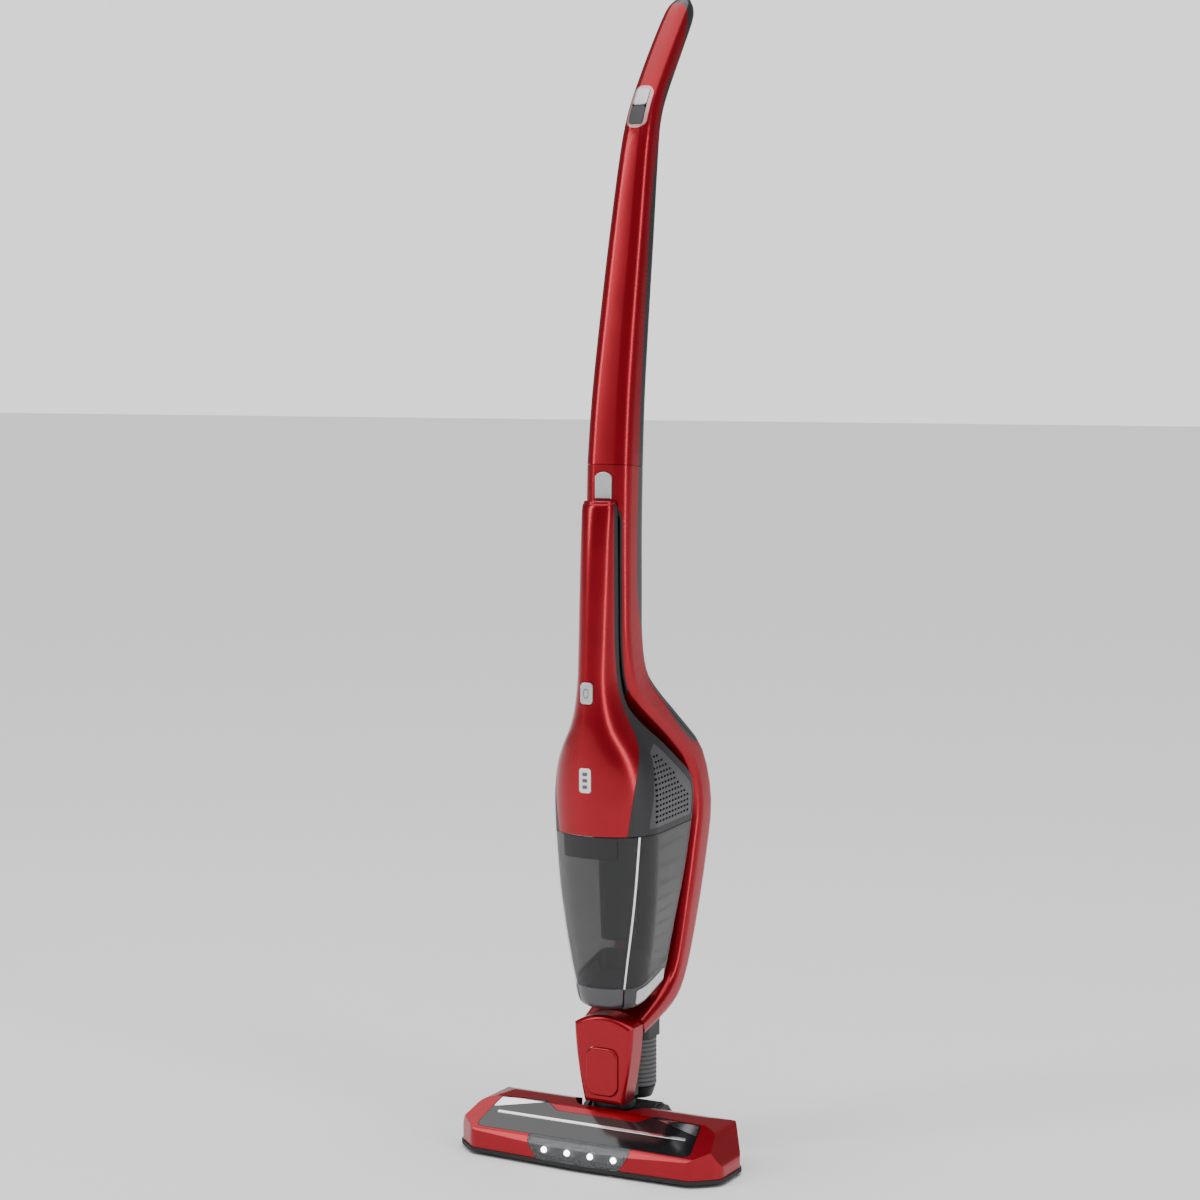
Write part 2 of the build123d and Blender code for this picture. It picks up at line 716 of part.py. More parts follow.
with BuildPart() as handheld_power_button:
    add(front_tablet(power_z, power_width, power_height, 3.8, power_face + 6.0, power_face - button_proud))
    fillet(handheld_power_button.faces().sort_by(Axis.Y)[0].edges(), 1.0)

with BuildPart() as battery_window:
    add(front_tablet(window_z, window_width, window_height, 3.0, window_face + 3.0, window_face - trim_proud - 0.4))
    fillet(battery_window.faces().sort_by(Axis.Y)[0].edges(), 0.5)

# ================================================================ dust cup
strip_angle = 1.3
visor_bottom = 303.0
floor_slope_front = -14.0
floor_rise = 24.0
button_strip_height = 19.0


def cup_slope(lift_front, lift_back):
    """Side-view line along the cup's sloping underside, lifted at each end."""
    return [(floor_slope_front, nose_z + lift_front), (54.0, nose_z + floor_rise + lift_back)]


under_cup = side_prism([(-70, nose_z - 40), (-70, nose_z), *cup_slope(0.0, 0.0), (90, nose_z + 36), (90, nose_z - 40)],
                       0, body_span)
below_panel = side_prism([(-70, nose_z - 40), (-70, band_top_z), (floor_slope_front, band_top_z),
                          (54.0, nose_z + floor_rise + button_strip_height), (90, nose_z + 54), (90, nose_z - 40)],
                         0, body_span)
latch_space = side_prism([(-10.0, nose_z + 3.6), (40.0, nose_z + 21.2), (38.5, nose_z + 33.5), (-12.0, band_top_z - 2.2)],
                         [2.0, 2.0, 2.0, 2.0], body_span)
latch_shape = side_prism([(-9.6, nose_z + 4.2), (39.5, nose_z + 21.6), (38.1, nose_z + 33.0), (-11.5, band_top_z - 2.7)],
                         [1.8, 1.8, 1.8, 1.8], body_span)

with BuildPart() as dust_cup:
    add(front_loft(cup_stations, 3, 0.0, cup_wall, None, strip_angle + 0.2))
    with BuildSketch(Plane.XZ.offset(-10)):
        with Locations((0, cup_seam_z)):
            Rectangle(58.0, 2 * (cup_seam_z - visor_bottom))
    extrude(amount=body_span * 2, mode=Mode.SUBTRACT)

with BuildPart() as cup_visor:
    add(front_loft(cup_stations, 3, 0.5, cup_wall, None, strip_angle + 0.2))
    with BuildSketch(Plane.XZ.offset(-10)):
        with Locations((0, cup_seam_z - (cup_seam_z - visor_bottom) / 2 + 0.1)):
            Rectangle(57.6, cup_seam_z - visor_bottom - 0.2)
    extrude(amount=body_span * 2, mode=Mode.INTERSECT)

with BuildPart() as cup_rear_housing:
    add(rear_loft(cup_stations, 0, 0.0, cup_wall, strip_angle + 0.2))
    add(below_panel, mode=Mode.SUBTRACT)

with BuildPart() as cup_base:
    add(rear_loft(cup_stations, 0, 0.0, cup_wall, strip_angle + 0.2))
    add(below_panel, mode=Mode.INTERSECT)
    add(under_cup, mode=Mode.SUBTRACT)
    add(latch_space, mode=Mode.SUBTRACT)

floor_plate = side_prism([(-70, nose_z), *cup_slope(0.0, 0.0), (90, nose_z + 36.7), (90, nose_z + 39.2),
                          (54.0, nose_z + floor_rise + 2.4), (floor_slope_front - 0.4, nose_z + 2.3), (-70, nose_z + 2.3)],
                         0, body_span)
with BuildPart() as cup_floor:
    add(full_loft(cup_stations, 0, cup_wall + 0.1))
    add(floor_plate, mode=Mode.INTERSECT)
    with BuildSketch(Plane.XY.offset(nose_z - 10)):
        with Locations((0, 3.0)):
            RectangleRounded(24.0, 22.0, 5.0)
    extrude(amount=60, mode=Mode.SUBTRACT)

with BuildPart() as nose_band:
    add(front_loft(cup_stations[:4], 0, 0.0, cup_wall, None, strip_angle + 0.2))


def strip_loft(side):
    """Slim bright strip over the seam between the clear cup and the grey housing, on one side."""
    with BuildPart() as strip:
        for z, half, front, waist, rear_half, rear, corner, seam in smooth(cup_stations[3:]):
            depth = waist - front
            start = -seam - strip_angle if side > 0 else 180 + seam - strip_angle
            with BuildSketch(Plane.XY.offset(z)):
                with BuildLine():
                    outer = EllipticalCenterArc((0, waist), half + trim_proud, depth + trim_proud, start_angle=start,
                                                arc_size=2 * strip_angle)
                    inner = EllipticalCenterArc((0, waist), half - cup_wall, depth - cup_wall, start_angle=start,
                                                arc_size=2 * strip_angle)
                    Line(outer @ 0, inner @ 0)
                    Line(outer @ 1, inner @ 1)
                make_face()
        loft(ruled=True)
    return strip.part


with BuildPart() as edge_strips:
    add(strip_loft(1))
    add(strip_loft(-1))

latch_buttons = []
for side in (1, -1):
    with BuildPart() as latch_button:
        add(rear_loft(cup_stations, 0, 0.6, cup_wall, strip_angle + 0.2))
        add(latch_shape, mode=Mode.INTERSECT)
        with BuildSketch(Plane.XY):
            with Locations((side * body_span, 0)):
                Rectangle(2 * body_span, 4 * body_span)
        extrude(amount=handheld_top_z, mode=Mode.INTERSECT)
    latch_buttons.append(latch_button)

filter_bottom = 214.0
filter_top = cup_seam_z - 6.0
filter_y = 14.0
with BuildPart() as coarse_filter:
    with BuildSketch(Plane.XY.offset(filter_bottom)):
        with Locations((0, filter_y)):
            Circle(filter_radius - 4.0)
    with BuildSketch(Plane.XY.offset(filter_top)):
        with Locations((0, filter_y)):
            Circle(filter_radius)
    loft()
    with BuildSketch(Plane.XY.offset(filter_bottom + 2.0)):
        with Locations((0, filter_y)):
            Circle(filter_radius - 5.6)
    with BuildSketch(Plane.XY.offset(filter_top + 0.5)):
        with Locations((0, filter_y)):
            Circle(filter_radius - 1.6)
    loft(mode=Mode.SUBTRACT)
    with BuildSketch(Plane.XY.offset(filter_top - 3.0)):
        with Locations((0, filter_y)):
            Circle(filter_radius + 6.0)
            Circle(filter_radius - 1.7, mode=Mode.SUBTRACT)
    extrude(amount=3.0)

pleat_count = 20
with BuildPart() as fine_filter:
    with BuildSketch(Plane.XY.offset(filter_bottom + 6.0)):
        with Locations((0, filter_y)):
            Circle(12.0)
            with PolarLocations(12.0, pleat_count):
                Rectangle(4.0, 1.6)
            Circle(9.0, mode=Mode.SUBTRACT)
    extrude(amount=filter_top - filter_bottom - 8.0)

handheld_pieces = {
    "handheld_front_shell": handheld_front_shell,
    "handheld_rear_shell": handheld_rear_shell,
    "side_grilles": side_grilles,
    "handheld_bulkhead": inner_frame,
    "suction_motor": suction_motor,
    "suction_fan": suction_fan,
    "battery_cells": battery_cells,
    "control_board": control_board,
    "handheld_power_button": handheld_power_button,
    "battery_window": battery_window,
    "dust_cup": dust_cup,
    "cup_visor": cup_visor,
    "cup_rear_housing": cup_rear_housing,
    "cup_base": cup_base,
    "cup_floor": cup_floor,
    "nose_band": nose_band,
    "edge_strips": edge_strips,
    "cup_latch_right": latch_buttons[0],
    "cup_latch_left": latch_buttons[1],
    "coarse_filter": coarse_filter,
    "fine_filter": fine_filter,
}
for piece_name, piece in handheld_pieces.items():
    save(piece, piece_name)


# ================================================================ neck: elbow, pins, hose and cuffs
hinge_bore_depth = 15.0
with BuildPart() as tilt_elbow:
    with BuildSketch(Plane.YZ):
        with Locations((tilt_y, tilt_z)):
            Circle(barrel_radius)
    extrude(amount=barrel_half, both=True)
    fillet(tilt_elbow.edges().filter_by(GeomType.CIRCLE), 1.5)
    with BuildSketch(Plane.XY.offset(swivel_base_z - swivel_ring_height - 2.0)):
        with Locations((0, swivel_y)):
            Circle(swivel_ring_radius)
        with Locations((0, (swivel_y + tilt_y) / 2)):
            Rectangle(2 * swivel_ring_radius, tilt_y - swivel_y)
    extrude(amount=swivel_ring_height + 2.0)
    with BuildSketch(Plane.XY.offset(swivel_base_z)):
        with Locations((0, swivel_y)):
            Circle(spigot_radius)
    extrude(amount=-swivel_ring_height, mode=Mode.SUBTRACT)
    with BuildSketch(Plane.XY.offset(swivel_base_z - 0.01)):
        with Locations((0, swivel_y)):
            Circle(swivel_ring_radius + 0.1)
    extrude(amount=barrel_radius, mode=Mode.SUBTRACT)
    for side in (1, -1):
        with BuildSketch(Plane.YZ.offset(side * barrel_half)):
            with Locations((tilt_y, tilt_z)):
                Circle(hinge_pin_radius + running_clearance)
        extrude(amount=-side * hinge_bore_depth, mode=Mode.SUBTRACT)

arm_inner = barrel_half + arm_gap
arm_outer = arm_inner + arm_thickness
sole_top = sole_z + sole_thickness
press_clearance = 0.02
arm_outline = [(2.0, sole_top + 0.1), (2.0, 30.0), (22.0, 43.0), (42.0, 44.0), (52.0, 34.0), (66.0, 24.0),
               (67.0, 8.0), (60.0, sole_top + 0.1)]
with BuildPart() as hinge_carriage:
    with BuildSketch(Plane.YZ.offset(-arm_outer)):
        with BuildLine():
            FilletPolyline(*arm_outline, radius=[0, 5, 9, 9, 9, 7, 5, 4], close=True)
        make_face()
    extrude(amount=2 * arm_outer)
    with BuildSketch(Plane.YZ.offset(-arm_inner)):
        with BuildLine():
            Polyline((-30, sole_top + 2.6), (-30, 60), (80, 60), (80, 0), (14.0, 0), (14.0, sole_top + 2.6), close=True)
        make_face()
    extrude(amount=2 * arm_inner, mode=Mode.SUBTRACT)
    with BuildSketch(Plane.YZ.offset(-2 * arm_outer)):
        with Locations((tilt_y, tilt_z)):
            Circle(hinge_pin_radius + press_clearance)
        with Locations((wheel_y, wheel_radius)):
            Circle(wheel_axle_radius + press_clearance)
    extrude(amount=4 * arm_outer, mode=Mode.SUBTRACT)


def cross_pins(y, z, radius, start, end):
    """A pair of pins along X, one on each side."""
    with BuildPart() as pins:
        for side in (1, -1):
            with BuildSketch(Plane.YZ.offset(side * start)):
                with Locations((y, z)):
                    Circle(radius)
            extrude(amount=side * (end - start))
    return pins


hinge_pins = cross_pins(tilt_y, tilt_z, hinge_pin_radius, barrel_half - hinge_bore_depth + 1.0, arm_outer + 0.6)
wheel_gap = 2.0
wheel_inner = arm_outer + wheel_gap
wheel_axles = cross_pins(wheel_y, wheel_radius, wheel_axle_radius, arm_inner + 0.4, wheel_inner + wheel_width + 1.6)


def roller(x_start, width, y, radius, bore):
    """Wheel on an X axle that just touches the floor."""
    with BuildPart() as wheel:
        with BuildSketch(Plane.YZ.offset(x_start)):
            with Locations((y, radius)):
                Circle(radius)
                Circle(bore, mode=Mode.SUBTRACT)
        extrude(amount=width)
        chamfer(wheel.faces().filter_by(Axis.X).edges().filter_by(lambda e: e.length > 6 * radius), radius * 0.1)
    return wheel


rear_wheel_right = roller(wheel_inner, wheel_width, wheel_y, wheel_radius, wheel_axle_radius + running_clearance)
rear_wheel_left = roller(-wheel_inner - wheel_width, wheel_width, wheel_y, wheel_radius,
                         wheel_axle_radius + running_clearance)

cuff_half = 19.0
cuff_corner = 9.0
lower_cuff_z = 46.0
with BuildPart() as lower_hose_cuff:
    with BuildSketch(Plane.XY.offset(lower_cuff_z)):
        with Locations((0, hose_y - 1)):
            Circle(hose_radius - 2.0)
    with BuildSketch(Plane.XY.offset(hose_bottom_z - 0.5)):
        with Locations((0, hose_y)):
            Circle(hose_radius + 1.2)
    loft()
    with BuildSketch(Plane.YZ):
        with Locations((tilt_y, tilt_z)):
            Circle(barrel_radius + 0.1)
    extrude(amount=2 * barrel_half, both=True, mode=Mode.SUBTRACT)

with BuildPart() as ribbed_hose:
    with BuildSketch(Plane.XY.offset(hose_bottom_z)):
        with Locations((0, hose_y)):
            Circle(hose_radius)
            Circle(hose_radius - hose_wall, mode=Mode.SUBTRACT)
    extrude(amount=hose_top_z - hose_bottom_z)

spine_solid = solid_loft(spine_stations, -0.1)
with BuildPart() as upper_hose_cuff:
    with BuildSketch(Plane.XY.offset(hose_top_z + 0.5)):
        with Locations((0, hose_y + 1)):
            RectangleRounded(2 * cuff_half, 2 * cuff_half, cuff_corner)
    extrude(amount=cuff_height)
    add(spine_solid, mode=Mode.SUBTRACT)
    with BuildSketch(Plane.XY.offset(hose_top_z + 0.5)):
        with Locations((0, hose_y)):
            Circle(hose_radius - hose_wall - 1.0)
    extrude(amount=cuff_height, mode=Mode.SUBTRACT)

# ================================================================ floor nozzle
nozzle_half = nozzle_width / 2
plan_reach = 60.0


def nozzle_plan(notched):
    """Outline of the nozzle from above, as points and corner radii."""
    points = [(24.0 - nozzle_half, nozzle_front + 3.0), (0.0, nozzle_front - 2.0), (nozzle_half - 24.0, nozzle_front + 3.0),
              (nozzle_half, nozzle_front + 24.0), (nozzle_half, -6.0), (nozzle_half - 18.0, nozzle_rear)]
    radii = [14.0, 200.0, 14.0, 16.0, 10.0, 8.0]
    if notched:
        points += [(notch_half, nozzle_rear), (notch_half, 0.0), (notch_half - 14.0, notch_front),
                   (14.0 - notch_half, notch_front), (-notch_half, 0.0), (-notch_half, nozzle_rear)]
        radii += [3.0, 8.0, 8.0, 8.0, 8.0, 3.0]
    points += [(18.0 - nozzle_half, nozzle_rear), (-nozzle_half, -6.0), (-nozzle_half, nozzle_front + 24.0)]
    radii += [8.0, 10.0, 16.0]
    return points, radii


def plan_slab(notched, inset, bottom, top):
    """The nozzle's plan as a slab between two heights."""
    points, radii = nozzle_plan(notched)
    with BuildPart() as slab:
        with BuildSketch(Plane.XY.offset(bottom)):
            with BuildLine():
                FilletPolyline(*points, radius=radii, close=True)
            make_face()
            offset(amount=-inset)
        extrude(amount=top - bottom)
    return slab.part


nozzle_side = [(nozzle_front - 6.0, shell_base), (nozzle_front - 6.0, 10.0), (nozzle_front, 21.0), (nozzle_front + 5.0, 27.5),
               (-24.0, nozzle_height - 2.0), (-4.0, nozzle_height), (nozzle_rear, nozzle_height - 6.0),
               (nozzle_rear + 2.0, shell_base)]
nozzle_side_radii = [0.0, 6.0, 4.0, 6.0, 14.0, 20.0, 8.0, 0.0]
nozzle_face = [(-nozzle_half, shell_base), (-nozzle_half, 18.0), (14.0 - nozzle_half, nozzle_height - 6.0),
               (44.0 - nozzle_half, nozzle_height + 2.0), (nozzle_half - 44.0, nozzle_height + 2.0),
               (nozzle_half - 14.0, nozzle_height - 6.0), (nozzle_half, 18.0), (nozzle_half, shell_base)]
nozzle_face_radii = [0.0, 14.0, 9.0, 30.0, 30.0, 9.0, 14.0, 0.0]


def nozzle_body(inset):
    """The nozzle's outer form, or the space inside it: plan, side and front outlines in common."""
    bottom = shell_base if inset <= 0 else shell_base - 20.0
    with BuildPart() as body:
        add(plan_slab(True, inset, bottom, nozzle_height + plan_reach))
        with BuildSketch(Plane.YZ):
            with BuildLine():
                FilletPolyline(*nozzle_side, radius=nozzle_side_radii, close=True)
            make_face()
            with Locations(((nozzle_front + nozzle_rear) / 2, shell_base - 9.9)):
                Rectangle(nozzle_rear - nozzle_front + 8.0, 20.0, mode=Mode.ADD)
            offset(amount=-inset)
        extrude(amount=nozzle_width, both=True, mode=Mode.INTERSECT)
        with BuildSketch(Plane.XZ):
            with BuildLine():
                FilletPolyline(*nozzle_face, radius=nozzle_face_radii, close=True)
            make_face()
            with Locations((0, shell_base - 9.9)):
                Rectangle(nozzle_width, 20.0, mode=Mode.ADD)
            offset(amount=-inset)
        extrude(amount=nozzle_width, both=True, mode=Mode.INTERSECT)
    return body.part


window_front = nozzle_front + 7.0
window_points = [(26.0 - nozzle_half, window_front), (nozzle_half - 26.0, window_front), (nozzle_half - 33.0, -25.0),
                 (62.0, -21.0), (44.0, -33.0), (-44.0, -33.0), (-62.0, -21.0), (33.0 - nozzle_half, -25.0)]
window_radii = [6.0, 6.0, 5.0, 6.0, 10.0, 10.0, 6.0, 5.0]
trim_points = [(58.0, -22.4), (nozzle_half - 34.5, -26.3), (nozzle_half - 31.5, -39.0), (64.0, -25.5)]


def plan_prism(points, radii, grow, mirrored=False):
    """Plan outline extruded up through the nozzle's roof."""
    with BuildPart() as prism:
        with BuildSketch(Plane.XY.offset(shell_base + 10.0)):
            with BuildLine():
                FilletPolyline(*points, radius=radii, close=True)
            make_face()
            offset(amount=grow)
            if mirrored:
                mirror(about=Plane.YZ)
        extrude(amount=plan_reach)
    return prism.part


lens_half = 55.0
lens_points = [(-lens_half + 9.0, shell_base + 0.1), (lens_half - 9.0, shell_base + 0.1), (lens_half, 21.0),
               (lens_half + 2.0, 30.0), (-lens_half - 2.0, 30.0), (-lens_half, 21.0)]


def lens_prism(grow):
    """Front-view outline of the headlight lens, cut only through the front wall."""
    with BuildPart() as prism:
        with BuildSketch(Plane.XZ.offset(-window_front)):
            with BuildLine():
                FilletPolyline(*lens_points, radius=3.0, close=True)
            make_face()
            offset(amount=grow)
        extrude(amount=plan_reach)
    return prism.part


nozzle_outer = nozzle_body(0.0)
nozzle_inner = nozzle_body(nozzle_wall)
with BuildPart() as nozzle_skin:
    add(nozzle_outer)
    add(nozzle_inner, mode=Mode.SUBTRACT)

with BuildPart() as nozzle_shell:
    add(nozzle_skin.part)
    add(plan_prism(window_points, window_radii, shell_gap / 2), mode=Mode.SUBTRACT)
    add(lens_prism(shell_gap / 2), mode=Mode.SUBTRACT)

with BuildPart() as brush_window:
    add(nozzle_skin.part)
    add(plan_prism(window_points, window_radii, -shell_gap / 2), mode=Mode.INTERSECT)
    add(plan_prism(trim_points, 1.0, 0.1, True), mode=Mode.SUBTRACT)

with BuildPart() as corner_trims:
    add(nozzle_skin.part)
    add(plan_prism(trim_points, 1.0, 0.0, True), mode=Mode.INTERSECT)

with BuildPart() as headlight_lens:
    add(nozzle_skin.part)
    add(lens_prism(-shell_gap / 2), mode=Mode.INTERSECT)
    add(plan_prism(window_points, window_radii, shell_gap / 2), mode=Mode.SUBTRACT)

strip_y = -45.0
strip_width = 2.4
strip_half = nozzle_half - 40.0
with BuildPart() as window_strip:
    add(nozzle_body(-trim_proud))
    add(nozzle_outer, mode=Mode.SUBTRACT)
    with BuildSketch(Plane.XY):
        with Locations((0, strip_y)):
            RectangleRounded(2 * strip_half, strip_width, 0.5)
    extrude(amount=2 * nozzle_height, mode=Mode.INTERSECT)

with BuildPart() as nozzle_trims:
    add(corner_trims)
    add(window_strip)

bumper_bottom = 3.2
bumper_out = 1.4
with BuildPart() as bumper:
    add(plan_slab(True, -bumper_out, bumper_bottom, shell_base - 0.1))
    add(plan_slab(True, 3.0, 0.0, 2 * shell_base), mode=Mode.SUBTRACT)
    with BuildSketch(Plane.XY):
        with Locations((0, plan_reach + notch_front - 5.0)):
            Rectangle(2 * notch_half + 28.0, 2 * plan_reach)
    extrude(amount=2 * shell_base, mode=Mode.SUBTRACT)

roller_x = nozzle_half - 28.5
roller_y = nozzle_front + 17.0
mouth_depth = 25.0
sole_inset = 3.2
with BuildPart() as sole_plate:
    add(plan_slab(False, sole_inset, sole_z, sole_top))
    with BuildSketch(Plane.XY.offset(sole_top)):
        for side in (1, -1):
            with Locations((side * roller_x, roller_y)):
                with GridLocations(roller_width + 5.0, 1, 2, 1):
                    Rectangle(4.0, 8.0)
    extrude(amount=roller_radius + roller_axle_radius + 1.4 - sole_top)
    with BuildSketch(Plane.XY):
        with Locations((0, brush_y)):
            RectangleRounded(brush_length + 3.0, mouth_depth, 3.0)
        for side in (1, -1):
            with Locations((side * roller_x, roller_y)):
                Rectangle(roller_width + 1.0, 2 * roller_radius + 1.6)
    extrude(amount=4 * sole_top, mode=Mode.SUBTRACT)
    with BuildSketch(Plane.YZ.offset(-nozzle_half)):
        with Locations((roller_y, roller_radius)):
            Circle(roller_axle_radius + press_clearance)
    extrude(amount=2 * nozzle_half, mode=Mode.SUBTRACT)

with BuildPart() as lint_strip:
    with BuildSketch(Plane.XY):
        RectangleRounded(glide_width, glide_depth, 3.0)
    extrude(amount=sole_z - 0.02)

roller_axles = cross_pins(roller_y, roller_radius, roller_axle_radius, roller_x - roller_width / 2 - 1.6,
                          roller_x + roller_width / 2 + 4.4)
front_roller_right = roller(roller_x - roller_width / 2, roller_width, roller_y, roller_radius,
                            roller_axle_radius + running_clearance)
front_roller_left = roller(-roller_x - roller_width / 2, roller_width, roller_y, roller_radius,
                           roller_axle_radius + running_clearance)

# ---------------------------------------------------------------- brush, its housing and drive
brush_z = bristle_radius + brush_clearance
core_start = -brush_length / 2 + 6.0
core_end = brush_length / 2 - 22.0
pulley_start = core_end + 3.0
pulley_width = 8.0
brush_pulley_radius = 8.0
bearing_out = brush_length / 2
bristle_rows = 6


def x_rod(y, z, radius, start, end):
    """One round stretch of a part that lies along X."""
    with BuildPart() as rod:
        with BuildSketch(Plane.YZ.offset(start)):
            with Locations((y, z)):
                Circle(radius)
        extrude(amount=end - start)
    return rod.part


with BuildPart() as brush_core:
    add(x_rod(brush_y, brush_z, brush_radius, core_start, core_end))
    add(x_rod(brush_y, brush_z, brush_pulley_radius, pulley_start, pulley_start + pulley_width))
    add(x_rod(brush_y, brush_z, brush_shaft_radius, -bearing_out, bearing_out))

with BuildPart() as brush_bristles:
    with BuildSketch(Plane.YZ.offset(core_start + 3.0)):
        with Locations((brush_y, brush_z)):
            with PolarLocations((brush_radius + bristle_radius) / 2 + 0.05, bristle_rows):
                Rectangle(bristle_radius - brush_radius - 0.1, 3.0)
    extrude(amount=core_end - core_start - 6.0)

with BuildPart() as brush_bearings:
    for start in (-bearing_out, bearing_out - bearing_width):
        with BuildSketch(Plane.YZ.offset(start)):
            with Locations((brush_y, brush_z)):
                Circle(bearing_radius)
                Circle(brush_shaft_radius + running_clearance, mode=Mode.SUBTRACT)
        extrude(amount=bearing_width)

motor_axis_y = -16.0
motor_axis_z = 21.0
brush_motor_radius = 10.0
brush_motor_start = 50.0
pinion_radius = 4.0
pinion_shaft_radius = 1.5
brush_motor_end = pulley_start - 4.0
housing_wall_y = brush_y + bristle_radius + 2.5
with BuildPart() as brush_housing:
    with BuildSketch(Plane.XY.offset(sole_top + 0.1)):
        with Locations((0, housing_wall_y + 1.0)):
            Rectangle(2 * bearing_out, 2.0)
        for start in (-bearing_out, bearing_out - bearing_width):
            with Locations((start + bearing_width / 2, (housing_wall_y + brush_y) / 2)):
                Rectangle(bearing_width, housing_wall_y - brush_y + 2 * bearing_radius + 6.0)
    extrude(amount=30.0)
    add(nozzle_body(nozzle_wall + 0.3), mode=Mode.INTERSECT)
    with BuildSketch(Plane.YZ.offset(-nozzle_half)):
        with Locations((brush_y, brush_z)):
            Circle(bearing_radius + press_clearance)
    extrude(amount=2 * nozzle_half, mode=Mode.SUBTRACT)
    with BuildSketch(Plane.YZ.offset(pulley_start - 2.0)):
        with Locations((housing_wall_y, sole_top)):
            Rectangle(6.0, 80.0)
    extrude(amount=pulley_width + 4.0, mode=Mode.SUBTRACT)

with BuildPart() as brush_motor:
    add(x_rod(motor_axis_y, motor_axis_z, brush_motor_radius, brush_motor_start, brush_motor_end))
    with BuildSketch(Plane.YZ.offset(brush_motor_end)):
        with Locations((motor_axis_y, motor_axis_z)):
            Circle(pinion_shaft_radius + running_clearance)
    extrude(amount=-12.0, mode=Mode.SUBTRACT)

with BuildPart() as motor_pinion:
    add(x_rod(motor_axis_y, motor_axis_z, pinion_radius, pulley_start, pulley_start + pulley_width))
    add(x_rod(motor_axis_y, motor_axis_z, pinion_shaft_radius, brush_motor_end - 11.0, pulley_start))

belt_gap = 0.3
belt_thickness = 1.3


def belt_loop(grow):
    """Stadium round both pulleys, in the side view."""
    with BuildSketch(Plane.YZ.offset(pulley_start + 1.5)) as loop:
        with Locations((motor_axis_y, motor_axis_z)):
            Circle(pinion_radius + belt_gap + grow)
        with Locations((brush_y, brush_z)):
            Circle(brush_pulley_radius + belt_gap + grow)
        make_hull()
    return loop.sketch


with BuildPart() as drive_belt:
    extrude(belt_loop(belt_thickness), amount=pulley_width - 3.0, dir=(1, 0, 0))
    extrude(belt_loop(0.0), amount=pulley_width - 3.0, dir=(1, 0, 0), mode=Mode.SUBTRACT)

# ---------------------------------------------------------------- headlight board
led_spacing = 25.5
led_count = 4
board_y = nozzle_front + 7.5
with BuildPart() as headlight_board:
    with BuildSketch(Plane.XZ.offset(-board_y)):
        with Locations((0, 15.0)):
            Rectangle(2 * lens_half - 14.0, 10.0)
    extrude(amount=1.4)

with BuildPart() as headlights:
    with BuildSketch(Plane.XZ.offset(-board_y + 1.2)):
        with Locations((0, 15.5)):
            with GridLocations(led_spacing, 1, led_count, 1):
                Circle(2.6)
    extrude(amount=2.4)
    fillet(headlights.faces().sort_by(Axis.Y)[:led_count].edges(), 1.2)
    add(headlight_board)

with BuildPart() as axle_pins:
    add(hinge_pins)
    add(wheel_axles)
    add(roller_axles)

base_pieces = {
    "axle_pins": axle_pins,
    "tilt_elbow": tilt_elbow,
    "hinge_carriage": hinge_carriage,
    "rear_wheel_right": rear_wheel_right,
    "rear_wheel_left": rear_wheel_left,
    "lower_hose_cuff": lower_hose_cuff,
    "ribbed_hose": ribbed_hose,
    "upper_hose_cuff": upper_hose_cuff,
    "nozzle_shell": nozzle_shell,
    "brush_window": brush_window,
    "nozzle_trims": nozzle_trims,
    "headlight_lens": headlight_lens,
    "bumper": bumper,
    "sole_plate": sole_plate,
    "lint_strip": lint_strip,
    "front_roller_right": front_roller_right,
    "front_roller_left": front_roller_left,
    "brush_core": brush_core,
    "brush_bristles": brush_bristles,
    "brush_bearings": brush_bearings,
    "brush_housing": brush_housing,
    "brush_motor": brush_motor,
    "motor_pinion": motor_pinion,
    "drive_belt": drive_belt,
    "headlight_board": headlights,
}
for piece_name, piece in base_pieces.items():
    save(piece, piece_name)
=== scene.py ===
import json
from math import cos, pi, radians, sin

import bpy
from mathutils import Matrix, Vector


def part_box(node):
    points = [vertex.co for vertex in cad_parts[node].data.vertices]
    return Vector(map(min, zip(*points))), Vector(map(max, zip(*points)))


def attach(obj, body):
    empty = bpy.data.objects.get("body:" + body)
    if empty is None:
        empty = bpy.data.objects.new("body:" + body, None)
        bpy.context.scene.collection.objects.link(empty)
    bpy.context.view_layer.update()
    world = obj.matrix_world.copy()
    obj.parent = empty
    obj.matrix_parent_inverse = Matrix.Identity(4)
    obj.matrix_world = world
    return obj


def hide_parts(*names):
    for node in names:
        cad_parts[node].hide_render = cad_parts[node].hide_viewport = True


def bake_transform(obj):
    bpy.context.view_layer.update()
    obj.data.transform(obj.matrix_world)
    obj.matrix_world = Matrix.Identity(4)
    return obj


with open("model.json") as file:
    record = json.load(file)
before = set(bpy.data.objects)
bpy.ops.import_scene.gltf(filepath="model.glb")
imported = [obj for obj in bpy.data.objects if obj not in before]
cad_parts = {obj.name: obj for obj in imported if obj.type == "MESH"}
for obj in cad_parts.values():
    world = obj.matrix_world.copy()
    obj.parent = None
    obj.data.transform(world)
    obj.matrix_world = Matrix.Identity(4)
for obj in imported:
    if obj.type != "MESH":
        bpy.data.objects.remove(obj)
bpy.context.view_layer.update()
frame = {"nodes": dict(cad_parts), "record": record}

nodes = frame["nodes"]
slots_of_nodes = {row["node"]: row["material_slot"] for row in frame["record"]["subparts"]}
bodies_of_nodes = {}
for body_name, members in frame["record"]["behaviour"]["bodies"].items():
    for member in members:
        bodies_of_nodes[member] = body_name


